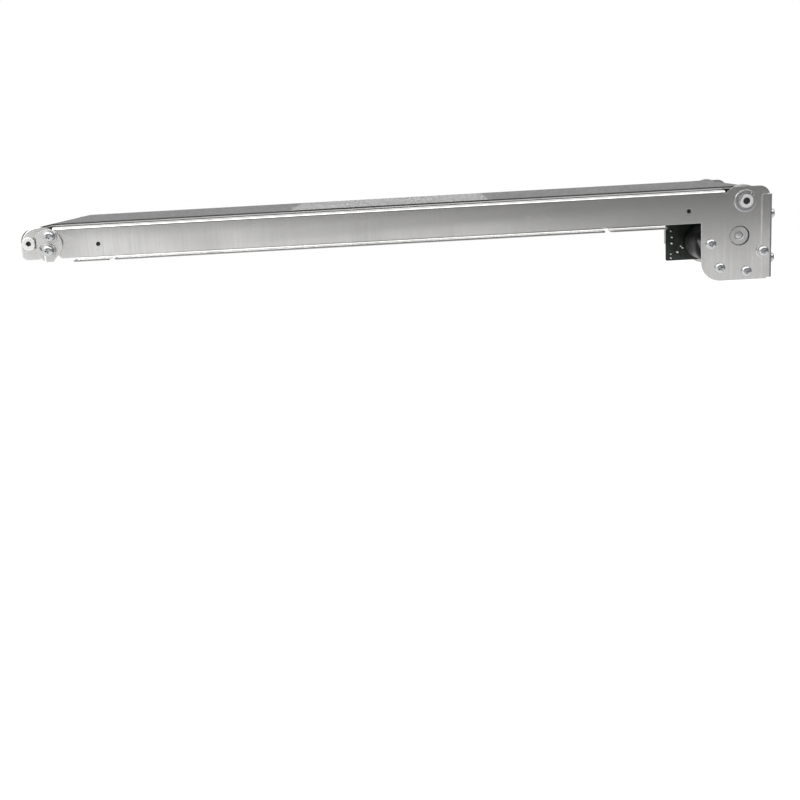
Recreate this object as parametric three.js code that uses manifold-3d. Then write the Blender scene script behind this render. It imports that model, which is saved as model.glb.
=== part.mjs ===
// Motorised belt conveyor lane: a folded sheet frame, an endless belt over two rollers, a gearmotor below.
// Millimetres. +X runs from the idler end to the drive end, -Y is the gear side, +Z is up.
// The origin is on the underside plane of the mounting tabs, midway between the two roller axes.
import * as THREE from "three";
import { mergeVertices } from "three/addons/utils/BufferGeometryUtils.js";
import Module from "manifold-3d";

const wasm = await Module();
wasm.setup();

// Clearances shared by every piece.
const SEAT_GAP = 0.25; // between faces that touch on the real object
const RUN_GAP = 0.15; // radial, between a turning piece and its bearing
const OVERRUN = 2; // how far a cutter passes the face that it cuts
const WELD = 1e-4; // vertices closer than this are one

// Facets of the round pieces.
const LARGE_STEPS = 32;
const MEDIUM_STEPS = 20;
const SMALL_STEPS = 12;
const BEND_STEPS = 4;
const CROWN_STEPS = 2;

// Folded sheet.
const SHEET = 1.2;
const BEND_RADIUS = 1.0; // inside of each fold

// Rollers and belt.
const AXLE_SPAN = 547;
const SIDE_ROOM = 17; // channel width less belt width: gear pair on one side, guide rim on the other
const BELT_THICKNESS = 2.0;
const BELT_SHIFT = 2.5; // the belt's middle lies this far towards the far side
const DRIVE_ROLLER_RADIUS = 8.65;
const IDLER_ROLLER_RADIUS = 8.1;
const IDLER_DROP = 11.2; // the idler axis below the bed

// Channel: bed, two webs and the mounting tabs.
const CHANNEL_WIDTH = 127;
const CHANNEL_HEIGHT = 26;
const BED_FROM_IDLER = 18.5;
const BED_TO_DRIVE = 15;
const TONGUE_REACH = 5; // the bed under the belt runs on this far towards the idler
const NOSE_DEPTH = 5;
const RELIEF = 1.0; // gap cut at each end of a fold
const TAB_REACH = 12;
const TAB_START = 35.3; // from the idler axis
const TAB_LENGTHS = [27.7, 372.7, 43.5];
const TAB_GAP = 3.8;
const TAB_CORNER = 2.5;
const WEB_HOLE_RADIUS = 1.7;
const WEB_HOLE_DROP = 14.2; // below the bed
const IDLER_HOLE_OFFSET = 52.8;
const DRIVE_HOLE_OFFSET = 42.4;

// Ears at the idler end.
const EAR_REACH = 7;
const EAR_RISE = 1.2; // above the bed
const EAR_NOSE_RADIUS = 15;
const EAR_TOE_RADIUS = 4.5;
const EAR_SHOULDER_DROP = 1.2; // where the ear's sloping top meets the relief
const SLOT_HALF = 3.9;
const SLOT_INBOARD = 5.2;
const SLOT_OUTBOARD = 4.1;

// Drop plates at the drive end.
const NEAR_DROP_FORE = 33; // from the drive axis towards the idler
const FAR_DROP_FORE = 15.5;
const DROP_AFT = 18.8;
const DROP_DEPTH = 68.5; // below the bed
const DROP_RADIUS = 14.5;
const DROP_TOE_RADIUS = 1.5;
const DRIVE_EAR_RISE = 2.1;
const DRIVE_EAR_RADIUS = 8;
const DRIVE_EAR_FLAT = 8.7;
const DRIVE_EAR_FOOT = 13.6;
const DRIVE_EAR_FOOT_DROP = 1.0;
const END_FLANGE = 10;
const END_FLANGE_DROP = 10;
const END_FLANGE_FOOT = 2.5;

// End cover.
const COVER_DROP = 4.3;
const COVER_FOOT = 1.1;
const COVER_FLANGE = 6.4;
const COVER_LIP = 6;
const COVER_LUG_RADIUS = 5;
const COVER_CHAMFER = 4;

// Screws, M4 pan head with a cross recess.
const SCREW_HEAD_RADIUS = 3.9;
const SCREW_HEAD_HEIGHT = 2.6;
const SCREW_RIM = 1.0;
const SCREW_SHANK_RADIUS = 1.95;
const SCREW_HOLE_RADIUS = 2.2;
const RECESS_SPAN = 4.4;
const RECESS_WIDTH = 0.9;
const RECESS_DEPTH = 1.3;
const SHORT_SHANK = 5;
const WASHER_RADIUS = 5.1;
const WASHER_THICKNESS = 1.0;
const SPRING_WASHER_RADIUS = 3.6;
const SPRING_WASHER_THICKNESS = 1.0;

// Tension discs: a round plate with a flat towards the axle and a lobe with a screwdriver notch below.
const DISC_RADIUS = 11.1;
const DISC_THICKNESS = 1.6;
const DISC_FROM_IDLER = 14.45;
const DISC_DROP = 12.3; // below the bed
const DISC_FLAT = 8.9; // from the disc's middle
const DISC_ARC_START = THREE.MathUtils.degToRad(-50);
const LOBE_DEPTH = 13.6; // from the disc's middle
const LOBE_LEFT = 4.2;
const LOBE_RIGHT = 2.8;
const LOBE_HEEL = new THREE.Vector2(-7.7, -9.4);
const LOBE_STEP = 0.9; // the lobe is this much shorter to the left of the notch
const NOTCH_WIDTH = 1.5;
const NOTCH_DEPTH = 4.2;
const PIVOT_OFFSET = new THREE.Vector2(2.35, 6.0); // from the disc's middle
const LOCK_OFFSET = new THREE.Vector2(0.65, -4.7);
const DISC_SLOT_SWEEP = THREE.MathUtils.degToRad(28);
const DISC_SLOT_HALF = 2.5;

// Cut-out in the lower edge of each web, which leaves the notch of the disc open.
const ACCESS_LEFT = 7.7; // from the disc's middle
const ACCESS_RIGHT = 9.9;
const ACCESS_HEIGHT = 3;

// Idler axle and its roller.
const IDLER_SHAFT_RADIUS = 3.4;
const IDLER_HEAD_RADIUS = 4.95;
const IDLER_HEAD_LENGTH = 3.2;
const IDLER_TAP_RADIUS = 1.85;
const IDLER_TAP_DEPTH = 9;
const IDLER_WALL = 2;
const IDLER_OVERHANG = 0.8; // roller end past the belt edge
const CAP_FLANGE = 1.0;
const CAP_CONE = 1.8;
const CAP_NECK_RADIUS = 5;
const CAP_PLUG = 8;

// Drive shaft and what is on it.
const SHAFT_RADIUS = 5;
const SHAFT_STUB = 1.2; // past the retaining clip
const SHAFT_TAP_RADIUS = 2.5;
const SHAFT_TAP_DEPTH = 8;
const SHAFT_FLAT_REACH = 3.9; // from the axis
const SHAFT_FLAT_LENGTH = 4;
const SHAFT_FLAT_TURN = THREE.MathUtils.degToRad(153);
const BUSH_RADIUS = 6.4;
const BUSH_FLANGE_RADIUS = 8.4;
const BUSH_FLANGE = 1.4;
const CLIP_THICKNESS = 0.9;
const CLIP_RADIUS = 6.2;
const CLIP_GROOVE = 0.9;
const CLIP_EAR_REACH = 8.2; // from the axis
const CLIP_EAR_TURNS = [45, 106].map(THREE.MathUtils.degToRad);
const CLIP_EAR_HALF = THREE.MathUtils.degToRad(14);
const CLIP_HOLE_REACH = 7;
const CLIP_HOLE_RADIUS = 0.85;
const FAR_RIM_WIDTH = 2.4;

// Gear pair.
const GEAR_MODULE = 1.25;
const ROLLER_TEETH = 17;
const OUTPUT_TEETH = 25;
const PRESSURE = THREE.MathUtils.degToRad(20);
const ROOT_DEPTH = 1.5; // below the pitch circle
const BACKLASH = 0.3;
const FLANK_STEPS = 2;
const RIM_WIDTH = 1.4;
const RIM_OVER = 0.15; // rim above the tooth tips
const TOOTH_WIDTH = 4.7;
const OUTPUT_TURN = THREE.MathUtils.degToRad(-98.8); // direction from the drive axis to the output axis
const OUTPUT_WEB_RADIUS = 12;
const OUTPUT_WEB_DEPTH = 1.2;
const OUTPUT_HUB_RADIUS = 5.5;

// Gearbox, motor and board.
const OUTPUT_SHAFT_RADIUS = 3;
const BOSS_RADIUS = 7.1;
const BOSS_HOLE_RADIUS = 7.6;
const BOSS_SINK = 1.5; // below the near plate's outer face
const BOSS_DISH_RADIUS = 4.6;
const BOSS_DISH = 1.1;
const BOSS_DIMPLE = 1.2;
const GEARBOX_SCREWS = [[-21.7, -5.5], [-14.9, -24], [5.2, -27.4], [17.5, -12.5]].map(
  ([x, z]) => new THREE.Vector2(x, z),
); // from the output axis
const POST_RADIUS = 3.2;
const LUG_RADIUS = 4.4;
const GEARBOX_BOSS_RADIUS = 9;
const GEARBOX_PLATE = 1.6;
const GEARBOX_DEPTH = 20;
const GEARBOX_DRAFT = 1.5;
const MOTOR_OFFSET = new THREE.Vector2(-12.7, -9.4); // from the output axis
const MOTOR_RADIUS = 13.85;
const MOTOR_LENGTH = 36;
const MOTOR_EDGE = 1.5;
const MOTOR_CAP_RADIUS = 11;
const MOTOR_CAP = 2;
const BOARD_THICKNESS = 1.6;
const BOARD_LEFT = 28.3; // from the motor axis
const BOARD_RIGHT = 16;
const BOARD_TOP = 15.7;
const BOARD_BOTTOM = 15.2;
const CONNECTOR_WIDTH = 6;
const CONNECTOR_HEIGHT = 13;
const CONNECTOR_DEPTH = 7;
const CONNECTOR_INSET = 0.5;
const CONNECTOR_DROP = 4.5;
const CONNECTOR_WALL = 0.9;
const CAPACITOR_RADIUS = 3.1;
const CAPACITOR_LENGTH = 9;

// Places worked out from the sizes above.
const IDLER = new THREE.Vector2(-AXLE_SPAN / 2, CHANNEL_HEIGHT - IDLER_DROP);
const DRIVE = new THREE.Vector2(AXLE_SPAN / 2, CHANNEL_HEIGHT - DRIVE_ROLLER_RADIUS);
const FOLD = SHEET + BEND_RADIUS; // outside radius of a fold
const BED_START = IDLER.x + BED_FROM_IDLER;
const BED_END = DRIVE.x - BED_TO_DRIVE;
const TONGUE_START = BED_START - TONGUE_REACH;
const OUTER_Y = CHANNEL_WIDTH / 2;
const INNER_Y = OUTER_Y - SHEET;
const WEB_TOP = CHANNEL_HEIGHT - FOLD;
const PLATE_END = DRIVE.x + DROP_AFT;
const PLATE_FOOT = CHANNEL_HEIGHT - DROP_DEPTH;
const BELT_WIDTH = CHANNEL_WIDTH - SIDE_ROOM;
const BELT_NEAR = BELT_SHIFT - BELT_WIDTH / 2;
const BELT_FAR = BELT_SHIFT + BELT_WIDTH / 2;
const PITCH_TO_TIP = GEAR_MODULE;
const GEAR_CENTRES = ((ROLLER_TEETH + OUTPUT_TEETH) * GEAR_MODULE) / 2;
const OUTPUT = polar(DRIVE, GEAR_CENTRES, OUTPUT_TURN);
const MOTOR = OUTPUT.clone().add(MOTOR_OFFSET);
const RIM_RADIUS = (ROLLER_TEETH * GEAR_MODULE) / 2 + PITCH_TO_TIP + RIM_OVER;
const GEAR_INNER_Y = BELT_NEAR - SEAT_GAP;
const TEETH_INNER_Y = GEAR_INNER_Y - RIM_WIDTH;
const TEETH_OUTER_Y = TEETH_INNER_Y - TOOTH_WIDTH;
const GEAR_OUTER_Y = TEETH_OUTER_Y - RIM_WIDTH;
const GEARBOX_FACE_Y = GEAR_INNER_Y + SEAT_GAP;
const HOUSING_FRONT_Y = GEARBOX_FACE_Y + GEARBOX_PLATE + SEAT_GAP;
const HOUSING_BACK_Y = HOUSING_FRONT_Y + GEARBOX_DEPTH;
const MOTOR_FRONT_Y = HOUSING_BACK_Y + SEAT_GAP;
const MOTOR_BACK_Y = MOTOR_FRONT_Y + MOTOR_LENGTH;
const MOTOR_CAP_Y = MOTOR_BACK_Y + SEAT_GAP;
const BOARD_FRONT_Y = MOTOR_CAP_Y + MOTOR_CAP + SEAT_GAP;
const BOARD_BACK_Y = BOARD_FRONT_Y + BOARD_THICKNESS;
const COVER_OUTER_X = PLATE_END + SEAT_GAP + SHEET;
const COVER_SIDE_Y = OUTER_Y + SEAT_GAP + SHEET;
const COVER_TOP = CHANNEL_HEIGHT - COVER_DROP;
const COVER_BOTTOM = PLATE_FOOT + COVER_FOOT;
const COVER_SCREW = OUTPUT.clone().add(GEARBOX_SCREWS.at(-1));
const DISC = new THREE.Vector2(IDLER.x + DISC_FROM_IDLER, CHANNEL_HEIGHT - DISC_DROP);
const DISC_PIVOT = DISC.clone().add(PIVOT_OFFSET);
const DISC_LOCK = DISC.clone().add(LOCK_OFFSET);
const DISC_FACE_Y = OUTER_Y + SEAT_GAP + DISC_THICKNESS;
const END_SCREW_DROPS = [19.4, 52.8]; // below the bed
const END_SCREW_INSET = 4.6; // from the web's outer face

// Materials.
const finish = (color, roughness, metalness) =>
  new THREE.MeshStandardMaterial({ color, roughness, metalness });
const stainless = finish(0xb9bab8, 0.34, 1);
const zinc = finish(0xc9cbcc, 0.3, 1);
const brightSteel = finish(0xd8d9d9, 0.2, 1);
const beltFabric = finish(0x232327, 0.85, 0);
const whitePlastic = finish(0xe9e9e4, 0.45, 0);
const blackPlastic = finish(0x17181a, 0.5, 0);
const castAlloy = finish(0x8d8f90, 0.5, 0.8);
const boardGreen = finish(0x10301c, 0.45, 0);

// Outline points in the XZ plane.
function polar(centre, radius, turn) {
  return new THREE.Vector2(
    centre.x + radius * Math.cos(turn),
    centre.y + radius * Math.sin(turn),
  );
}

function arc(centre, radius, from, to, steps) {
  return Array.from({ length: steps + 1 }, (_, i) =>
    polar(centre, radius, from + ((to - from) * i) / steps),
  );
}

function circle(centre, radius, steps) {
  return arc(centre, radius, 0, 2 * Math.PI, steps).slice(0, -1);
}

function at(x, z) {
  return new THREE.Vector2(x, z);
}

function roundedCorner(x, z, radius, quarter) {
  // quarter 0 is the top right corner of an outline that runs anticlockwise, 1 the top left, and so on
  const inward = at(quarter === 0 || quarter === 3 ? -radius : radius, quarter < 2 ? -radius : radius);
  const from = (quarter * Math.PI) / 2;
  return arc(at(x, z).add(inward), radius, from, from + Math.PI / 2, BEND_STEPS * 2);
}

// A sheet of even thickness along a middle line with rounded corners.
function foldedOutline(corners, thickness, insideRadius) {
  const left = [];
  const right = [];
  const add = (point, normal) => {
    left.push(point.clone().addScaledVector(normal, thickness / 2));
    right.push(point.clone().addScaledVector(normal, -thickness / 2));
  };
  const along = corners.slice(1).map((p, i) => p.clone().sub(corners[i]).normalize());
  const normalOf = (d) => at(-d.y, d.x);
  const radius = insideRadius + thickness / 2;
  corners.forEach((corner, i) => {
    if (i === 0) return add(corner, normalOf(along[0]));
    if (i === corners.length - 1) return add(corner, normalOf(along.at(-1)));
    const before = along[i - 1];
    const after = along[i];
    const bend = Math.atan2(before.cross(after), before.dot(after));
    const reach = radius * Math.tan(Math.abs(bend) / 2);
    const side = Math.sign(bend);
    const centre = corner
      .clone()
      .addScaledVector(before, -reach)
      .addScaledVector(normalOf(before), radius * side);
    for (let k = 0; k <= BEND_STEPS; k++) {
      const normal = normalOf(before).rotateAround(at(0, 0), (bend * k) / BEND_STEPS);
      add(centre.clone().addScaledVector(normal, -radius * side), normal);
    }
  });
  return [...left, ...right.reverse()];
}

// A closed line round circles that lie to its left, all wrapped from outside, grown by extra.
function wrapOutline(wheels, extra) {
  const points = [];
  const turns = wheels.map((wheel, i) => {
    const next = wheels[(i + 1) % wheels.length];
    const gap = next.centre.clone().sub(wheel.centre);
    return gap.angle() - Math.acos((wheel.radius - next.radius) / gap.length());
  });
  wheels.forEach((wheel, i) => {
    const from = turns[(i + wheels.length - 1) % wheels.length];
    let to = turns[i];
    while (to < from) to += 2 * Math.PI;
    points.push(...arc(wheel.centre, wheel.radius + extra, from, to, wheel.steps));
  });
  return points;
}

function hullOutline(points) {
  const sorted = [...points].sort((a, b) => a.x - b.x || a.y - b.y);
  const half = (list) => {
    const kept = [];
    for (const p of list) {
      while (
        kept.length > 1 &&
        kept.at(-1).clone().sub(kept.at(-2)).cross(p.clone().sub(kept.at(-1))) <= 0
      )
        kept.pop();
      kept.push(p);
    }
    return kept.slice(0, -1);
  };
  return [...half(sorted), ...half(sorted.reverse())];
}

// Solids from outlines.
const ALONG_X = new THREE.Matrix4().makeBasis(
  new THREE.Vector3(0, 1, 0),
  new THREE.Vector3(0, 0, 1),
  new THREE.Vector3(1, 0, 0),
);
const ALONG_Y = new THREE.Matrix4().makeBasis(
  new THREE.Vector3(1, 0, 0),
  new THREE.Vector3(0, 0, 1),
  new THREE.Vector3(0, -1, 0),
);

function extruded(outline, holes, depth) {
  const shape = new THREE.Shape(outline);
  shape.holes = holes.map((hole) => new THREE.Path(hole));
  return new THREE.ExtrudeGeometry(shape, { depth, bevelEnabled: false });
}

function slabX(outline, low, high) {
  return extruded(outline, [], high - low).applyMatrix4(ALONG_X).translate(low, 0, 0);
}

function slabY(outline, low, high, holes = []) {
  return extruded(outline, holes, high - low).applyMatrix4(ALONG_Y).translate(0, high, 0);
}

function slabZ(outline, low, high) {
  return extruded(outline, [], high - low).translate(0, 0, low);
}

function boxBetween(low, high) {
  const size = high.clone().sub(low);
  const middle = low.clone().add(high).divideScalar(2);
  return new THREE.BoxGeometry(size.x, size.y, size.z).translate(middle.x, middle.y, middle.z);
}

// A solid of revolution about the Y axis; each profile point is radius and place along Y.
function turned(profile, steps, centre = at(0, 0)) {
  const closed = [...profile, profile[0]];
  const area = profile.reduce((sum, p, i) => sum + p.cross(closed[i + 1]), 0);
  const onAxis = profile[0].x === 0;
  const ordered = area > 0 ? profile : [...profile].reverse();
  const points = onAxis ? ordered : [...ordered, ordered[0]];
  return new THREE.LatheGeometry(points, steps).translate(centre.x, 0, centre.y);
}

function ring(inner, outer, low, high, steps, centre) {
  return turned([at(inner, low), at(outer, low), at(outer, high), at(inner, high)], steps, centre);
}

function drum(radius, low, high, steps, centre) {
  return turned([at(0, low), at(radius, low), at(radius, high), at(0, high)], steps, centre);
}

// Cutting and joining.
function solidOf(geometry) {
  const bare = geometry.index ? geometry.toNonIndexed() : geometry.clone();
  bare.deleteAttribute("normal");
  bare.deleteAttribute("uv");
  const merged = mergeVertices(bare, WELD);
  return new wasm.Manifold(
    new wasm.Mesh({
      numProp: 3,
      vertProperties: new Float32Array(merged.getAttribute("position").array),
      triVerts: new Uint32Array(merged.index.array),
    }),
  );
}

function joined(geometries) {
  return geometries.map(solidOf).reduce((sum, next) => sum.add(next));
}

function less(body, cutters) {
  return cutters.reduce((left, cutter) => left.subtract(solidOf(cutter)), body);
}

function geometryOf(body) {
  const { vertProperties, triVerts } = body.getMesh();
  const geometry = new THREE.BufferGeometry();
  geometry.setAttribute("position", new THREE.BufferAttribute(new Float32Array(vertProperties), 3));
  geometry.setIndex(new THREE.BufferAttribute(new Uint32Array(triVerts), 1));
  const flat = geometry.toNonIndexed();
  flat.computeVertexNormals();
  return flat;
}

function piece(name, shape, material) {
  const geometry = shape.isBufferGeometry ? shape : geometryOf(shape);
  const mesh = new THREE.Mesh(geometry, material);
  mesh.name = name;
  return mesh;
}

function group(...children) {
  return new THREE.Group().add(...children);
}

const SIDES = [
  { label: "near", sign: -1 },
  { label: "far", sign: 1 },
];

function between(sign, inner, outer) {
  return sign < 0 ? [-outer, -inner] : [inner, outer];
}

// Frame: one folded sheet.
function channelSection() {
  const half = OUTER_Y - SHEET / 2;
  const low = SHEET / 2;
  const high = CHANNEL_HEIGHT - SHEET / 2;
  const tip = OUTER_Y + TAB_REACH;
  return foldedOutline(
    [at(-tip, low), at(-half, low), at(-half, high), at(half, high), at(half, low), at(tip, low)],
    SHEET,
    BEND_RADIUS,
  );
}

function tabSpans() {
  let start = IDLER.x + TAB_START;
  return TAB_LENGTHS.map((length) => {
    const span = [start, start + length];
    start += length + TAB_GAP;
    return span;
  });
}

// What is cut away between the tabs, as spans along X.
function tabCuts() {
  const spans = tabSpans();
  const starts = [BED_START - OVERRUN, ...spans.map(([, end]) => end)];
  const ends = [...spans.map(([start]) => start), BED_END + OVERRUN];
  return starts.map((start, i) => [start, ends[i]]);
}

function tabCutters(sign) {
  const [low, high] = between(sign, INNER_Y - OVERRUN, OUTER_Y + TAB_REACH + OVERRUN);
  return tabCuts().map(([start, end]) =>
    boxBetween(new THREE.Vector3(start, low, -OVERRUN), new THREE.Vector3(end, high, FOLD)),
  );
}

function tabCornerCutters(sign) {
  const edge = sign * (OUTER_Y + TAB_REACH);
  return tabSpans().flatMap(([start, end]) =>
    [
      [start, 1],
      [end, -1],
    ].map(([x, inward]) => {
      const corner = at(x + inward * TAB_CORNER, edge - sign * TAB_CORNER);
      const square = boxBetween(
        new THREE.Vector3(Math.min(x, corner.x), Math.min(edge, corner.y), -OVERRUN),
        new THREE.Vector3(Math.max(x, corner.x), Math.max(edge, corner.y), SHEET + OVERRUN),
      );
      const kept = slabZ(circle(corner, TAB_CORNER, SMALL_STEPS), -2 * OVERRUN, SHEET + 2 * OVERRUN);
      return geometryOf(solidOf(square).subtract(solidOf(kept)));
    }),
  );
}

function webOutline(sign) {
  const left = IDLER.x - EAR_REACH;
  const earTop = CHANNEL_HEIGHT + EAR_RISE;
  const driveTop = CHANNEL_HEIGHT + DRIVE_EAR_RISE;
  const fore = DRIVE.x - (sign < 0 ? NEAR_DROP_FORE : FAR_DROP_FORE);
  const accessTop = FOLD + ACCESS_HEIGHT;
  return [
    ...roundedCorner(left, FOLD, EAR_TOE_RADIUS, 2),
    at(DISC.x - ACCESS_LEFT, FOLD),
    at(DISC.x - ACCESS_LEFT + ACCESS_HEIGHT / 2, accessTop),
    at(DISC.x + ACCESS_RIGHT - ACCESS_HEIGHT, accessTop),
    at(DISC.x + ACCESS_RIGHT, FOLD),
    at(fore, FOLD),
    ...roundedCorner(fore, PLATE_FOOT, DROP_RADIUS, 2),
    ...roundedCorner(PLATE_END, PLATE_FOOT, DROP_TOE_RADIUS, 3),
    ...roundedCorner(PLATE_END, driveTop, DRIVE_EAR_RADIUS, 0),
    at(DRIVE.x - DRIVE_EAR_FLAT, driveTop),
    at(DRIVE.x - DRIVE_EAR_FOOT, CHANNEL_HEIGHT - DRIVE_EAR_FOOT_DROP),
    at(BED_END + RELIEF, WEB_TOP),
    at(BED_START - RELIEF, WEB_TOP),
    at(BED_START - RELIEF, CHANNEL_HEIGHT - EAR_SHOULDER_DROP),
    ...roundedCorner(left, earTop, EAR_NOSE_RADIUS, 1),
  ];
}

function axleSlot() {
  const outboard = arc(
    IDLER.clone().sub(at(SLOT_OUTBOARD - SLOT_HALF, 0)),
    SLOT_HALF,
    Math.PI / 2,
    (3 * Math.PI) / 2,
    SMALL_STEPS / 2,
  );
  const inboard = IDLER.x + SLOT_INBOARD;
  return [...outboard, at(inboard, IDLER.y - SLOT_HALF), at(inboard, IDLER.y + SLOT_HALF)];
}

function webHoles(sign) {
  const level = CHANNEL_HEIGHT - WEB_HOLE_DROP;
  const gearSide = sign < 0;
  const boss = gearSide ? [circle(OUTPUT, BOSS_HOLE_RADIUS, MEDIUM_STEPS)] : [];
  const screws = gearSide ? GEARBOX_SCREWS.map((p) => OUTPUT.clone().add(p)) : [COVER_SCREW];
  return [
    axleSlot(),
    circle(DRIVE, BUSH_RADIUS + SEAT_GAP, MEDIUM_STEPS),
    circle(at(IDLER.x + IDLER_HOLE_OFFSET, level), WEB_HOLE_RADIUS, SMALL_STEPS),
    circle(at(DRIVE.x - DRIVE_HOLE_OFFSET, level), WEB_HOLE_RADIUS, SMALL_STEPS),
    ...boss,
    ...[DISC_PIVOT, DISC_LOCK, ...screws].map((p) => circle(p, SCREW_HOLE_RADIUS, SMALL_STEPS)),
  ];
}

// The inward flange at the end of a drop plate, with its fold.
function endFlange(sign) {
  const y = sign * (OUTER_Y - SHEET / 2);
  const outline = foldedOutline(
    [
      at(PLATE_END - FOLD - SHEET, y),
      at(PLATE_END - SHEET / 2, y),
      at(PLATE_END - SHEET / 2, sign * (OUTER_Y - END_FLANGE)),
    ],
    SHEET,
    BEND_RADIUS,
  );
  const top = CHANNEL_HEIGHT - END_FLANGE_DROP;
  const low = PLATE_FOOT + END_FLANGE_FOOT;
  const flange = solidOf(slabZ(outline, low, top));
  return less(flange, endScrewPlaces(sign).map(endScrewHole));
}

function endScrewPlaces(sign) {
  return END_SCREW_DROPS.map(
    (drop) => new THREE.Vector3(COVER_OUTER_X, sign * (OUTER_Y - END_SCREW_INSET), CHANNEL_HEIGHT - drop),
  );
}

function endScrewHole(place) {
  return new THREE.CylinderGeometry(
    SCREW_HOLE_RADIUS,
    SCREW_HOLE_RADIUS,
    2 * (SHORT_SHANK + OVERRUN),
    SMALL_STEPS,
  )
    .rotateZ(Math.PI / 2)
    .translate(place.x, place.y, place.z);
}

function foldCornerCutter(sign) {
  // the plate's square edge gives way to the fold of the end flange and to that of the end cover
  const [low, high] = between(sign, INNER_Y - OVERRUN, OUTER_Y + OVERRUN);
  return boxBetween(
    new THREE.Vector3(PLATE_END - FOLD, low, PLATE_FOOT - OVERRUN),
    new THREE.Vector3(PLATE_END + OVERRUN, high, COVER_TOP + SEAT_GAP),
  );
}

// End of the bed under the belt, folded down so that the belt rides over a round nose.
function bedNose(x, inward, reach) {
  const high = CHANNEL_HEIGHT - SHEET / 2;
  const outline = foldedOutline(
    [
      at(x + inward * reach, high),
      at(x + (inward * SHEET) / 2, high),
      at(x + (inward * SHEET) / 2, CHANNEL_HEIGHT - NOSE_DEPTH),
    ],
    SHEET,
    BEND_RADIUS,
  );
  return slabY(outline, BELT_NEAR + FOLD, BELT_FAR - FOLD);
}

function driveNoseCutter() {
  return boxBetween(
    new THREE.Vector3(BED_END - FOLD, BELT_NEAR + FOLD, WEB_TOP),
    new THREE.Vector3(BED_END + OVERRUN, BELT_FAR - FOLD, CHANNEL_HEIGHT + OVERRUN),
  );
}

function webHoleCutters(sign) {
  const [low, high] = between(sign, INNER_Y - OVERRUN, OUTER_Y + OVERRUN);
  return webHoles(sign).map((hole) => slabY(hole, low, high));
}

function frameBody() {
  const section = solidOf(slabX(channelSection(), BED_START, BED_END));
  const channel = less(section, [
    ...SIDES.flatMap(({ sign }) => [...tabCutters(sign), ...tabCornerCutters(sign)]),
    driveNoseCutter(),
  ]);
  const noses = joined([
    bedNose(TONGUE_START, 1, TONGUE_REACH + SHEET),
    bedNose(BED_END, -1, FOLD + SHEET),
  ]);
  const webs = SIDES.map(({ sign }) => {
    const web = solidOf(slabY(webOutline(sign), ...between(sign, INNER_Y, OUTER_Y)));
    return less(web, [foldCornerCutter(sign)]).add(endFlange(sign));
  });
  const whole = [noses, ...webs].reduce((sum, next) => sum.add(next), channel);
  return less(whole, SIDES.flatMap(({ sign }) => webHoleCutters(sign)));
}

// End cover: end face, two side flanges outside the drop plates, and a top lip.
function coverSection() {
  const side = COVER_SIDE_Y - SHEET / 2;
  const back = COVER_OUTER_X - SHEET / 2;
  const tip = COVER_OUTER_X - COVER_FLANGE - SEAT_GAP - SHEET;
  return foldedOutline([at(tip, -side), at(back, -side), at(back, side), at(tip, side)], SHEET, BEND_RADIUS);
}

function coverLip() {
  const high = COVER_TOP - SHEET / 2;
  const back = COVER_OUTER_X - SHEET / 2;
  const outline = foldedOutline(
    [at(COVER_OUTER_X - COVER_LIP, high), at(back, high), at(back, COVER_TOP - FOLD - SHEET)],
    SHEET,
    BEND_RADIUS,
  );
  const half = INNER_Y - COVER_CHAMFER;
  return slabY(outline, -half, half);
}

function coverTopCutter() {
  // the end face gives way to the fold of the lip
  return boxBetween(
    new THREE.Vector3(COVER_OUTER_X - FOLD, -INNER_Y + COVER_CHAMFER, COVER_TOP - FOLD),
    new THREE.Vector3(COVER_OUTER_X + OVERRUN, INNER_Y - COVER_CHAMFER, COVER_TOP + OVERRUN),
  );
}

function coverLug(sign) {
  const [low, high] = between(sign, COVER_SIDE_Y - SHEET, COVER_SIDE_Y);
  return slabY(circle(COVER_SCREW, COVER_LUG_RADIUS, MEDIUM_STEPS), low, high);
}

function coverBody() {
  const shell = solidOf(slabZ(coverSection(), COVER_BOTTOM, COVER_TOP));
  const trimmed = less(shell, [coverTopCutter()]).add(solidOf(coverLip()));
  const lugs = SIDES.map(({ sign }) => {
    const beyond = boxBetween(
      new THREE.Vector3(COVER_OUTER_X - FOLD, -COVER_SIDE_Y - OVERRUN, COVER_BOTTOM),
      new THREE.Vector3(COVER_OUTER_X + COVER_LUG_RADIUS, COVER_SIDE_Y + OVERRUN, COVER_TOP),
    );
    return solidOf(coverLug(sign)).subtract(solidOf(beyond));
  });
  const holes = SIDES.flatMap(({ sign }) => {
    const [low, high] = between(sign, OUTER_Y, COVER_SIDE_Y + OVERRUN);
    return [
      slabY(circle(COVER_SCREW, SCREW_HOLE_RADIUS, SMALL_STEPS), low, high),
      ...endScrewPlaces(sign).map(endScrewHole),
    ];
  });
  return less(trimmed.add(lugs[0]).add(lugs[1]), holes);
}

// Pan head screw: the head's underside is at the origin and its top points along +Y.
function screwBody(shank) {
  const crown = [
    at(SCREW_HEAD_RADIUS, SCREW_RIM),
    ...arc(
      at(SCREW_HEAD_RADIUS - SCREW_HEAD_HEIGHT + SCREW_RIM, SCREW_RIM),
      SCREW_HEAD_HEIGHT - SCREW_RIM,
      0,
      Math.PI / 2,
      CROWN_STEPS,
    ).slice(1),
  ];
  const profile = [
    at(0, -shank),
    at(SCREW_SHANK_RADIUS, -shank),
    at(SCREW_SHANK_RADIUS, 0),
    at(SCREW_HEAD_RADIUS, 0),
    ...crown,
    at(0, SCREW_HEAD_HEIGHT),
  ];
  const recess = [
    [RECESS_SPAN, RECESS_WIDTH],
    [RECESS_WIDTH, RECESS_SPAN],
  ].map(([x, z]) =>
    boxBetween(
      new THREE.Vector3(-x / 2, SCREW_HEAD_HEIGHT - RECESS_DEPTH, -z / 2),
      new THREE.Vector3(x / 2, SCREW_HEAD_HEIGHT + OVERRUN, z / 2),
    ),
  );
  return less(solidOf(turned(profile, SMALL_STEPS)), recess);
}

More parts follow.
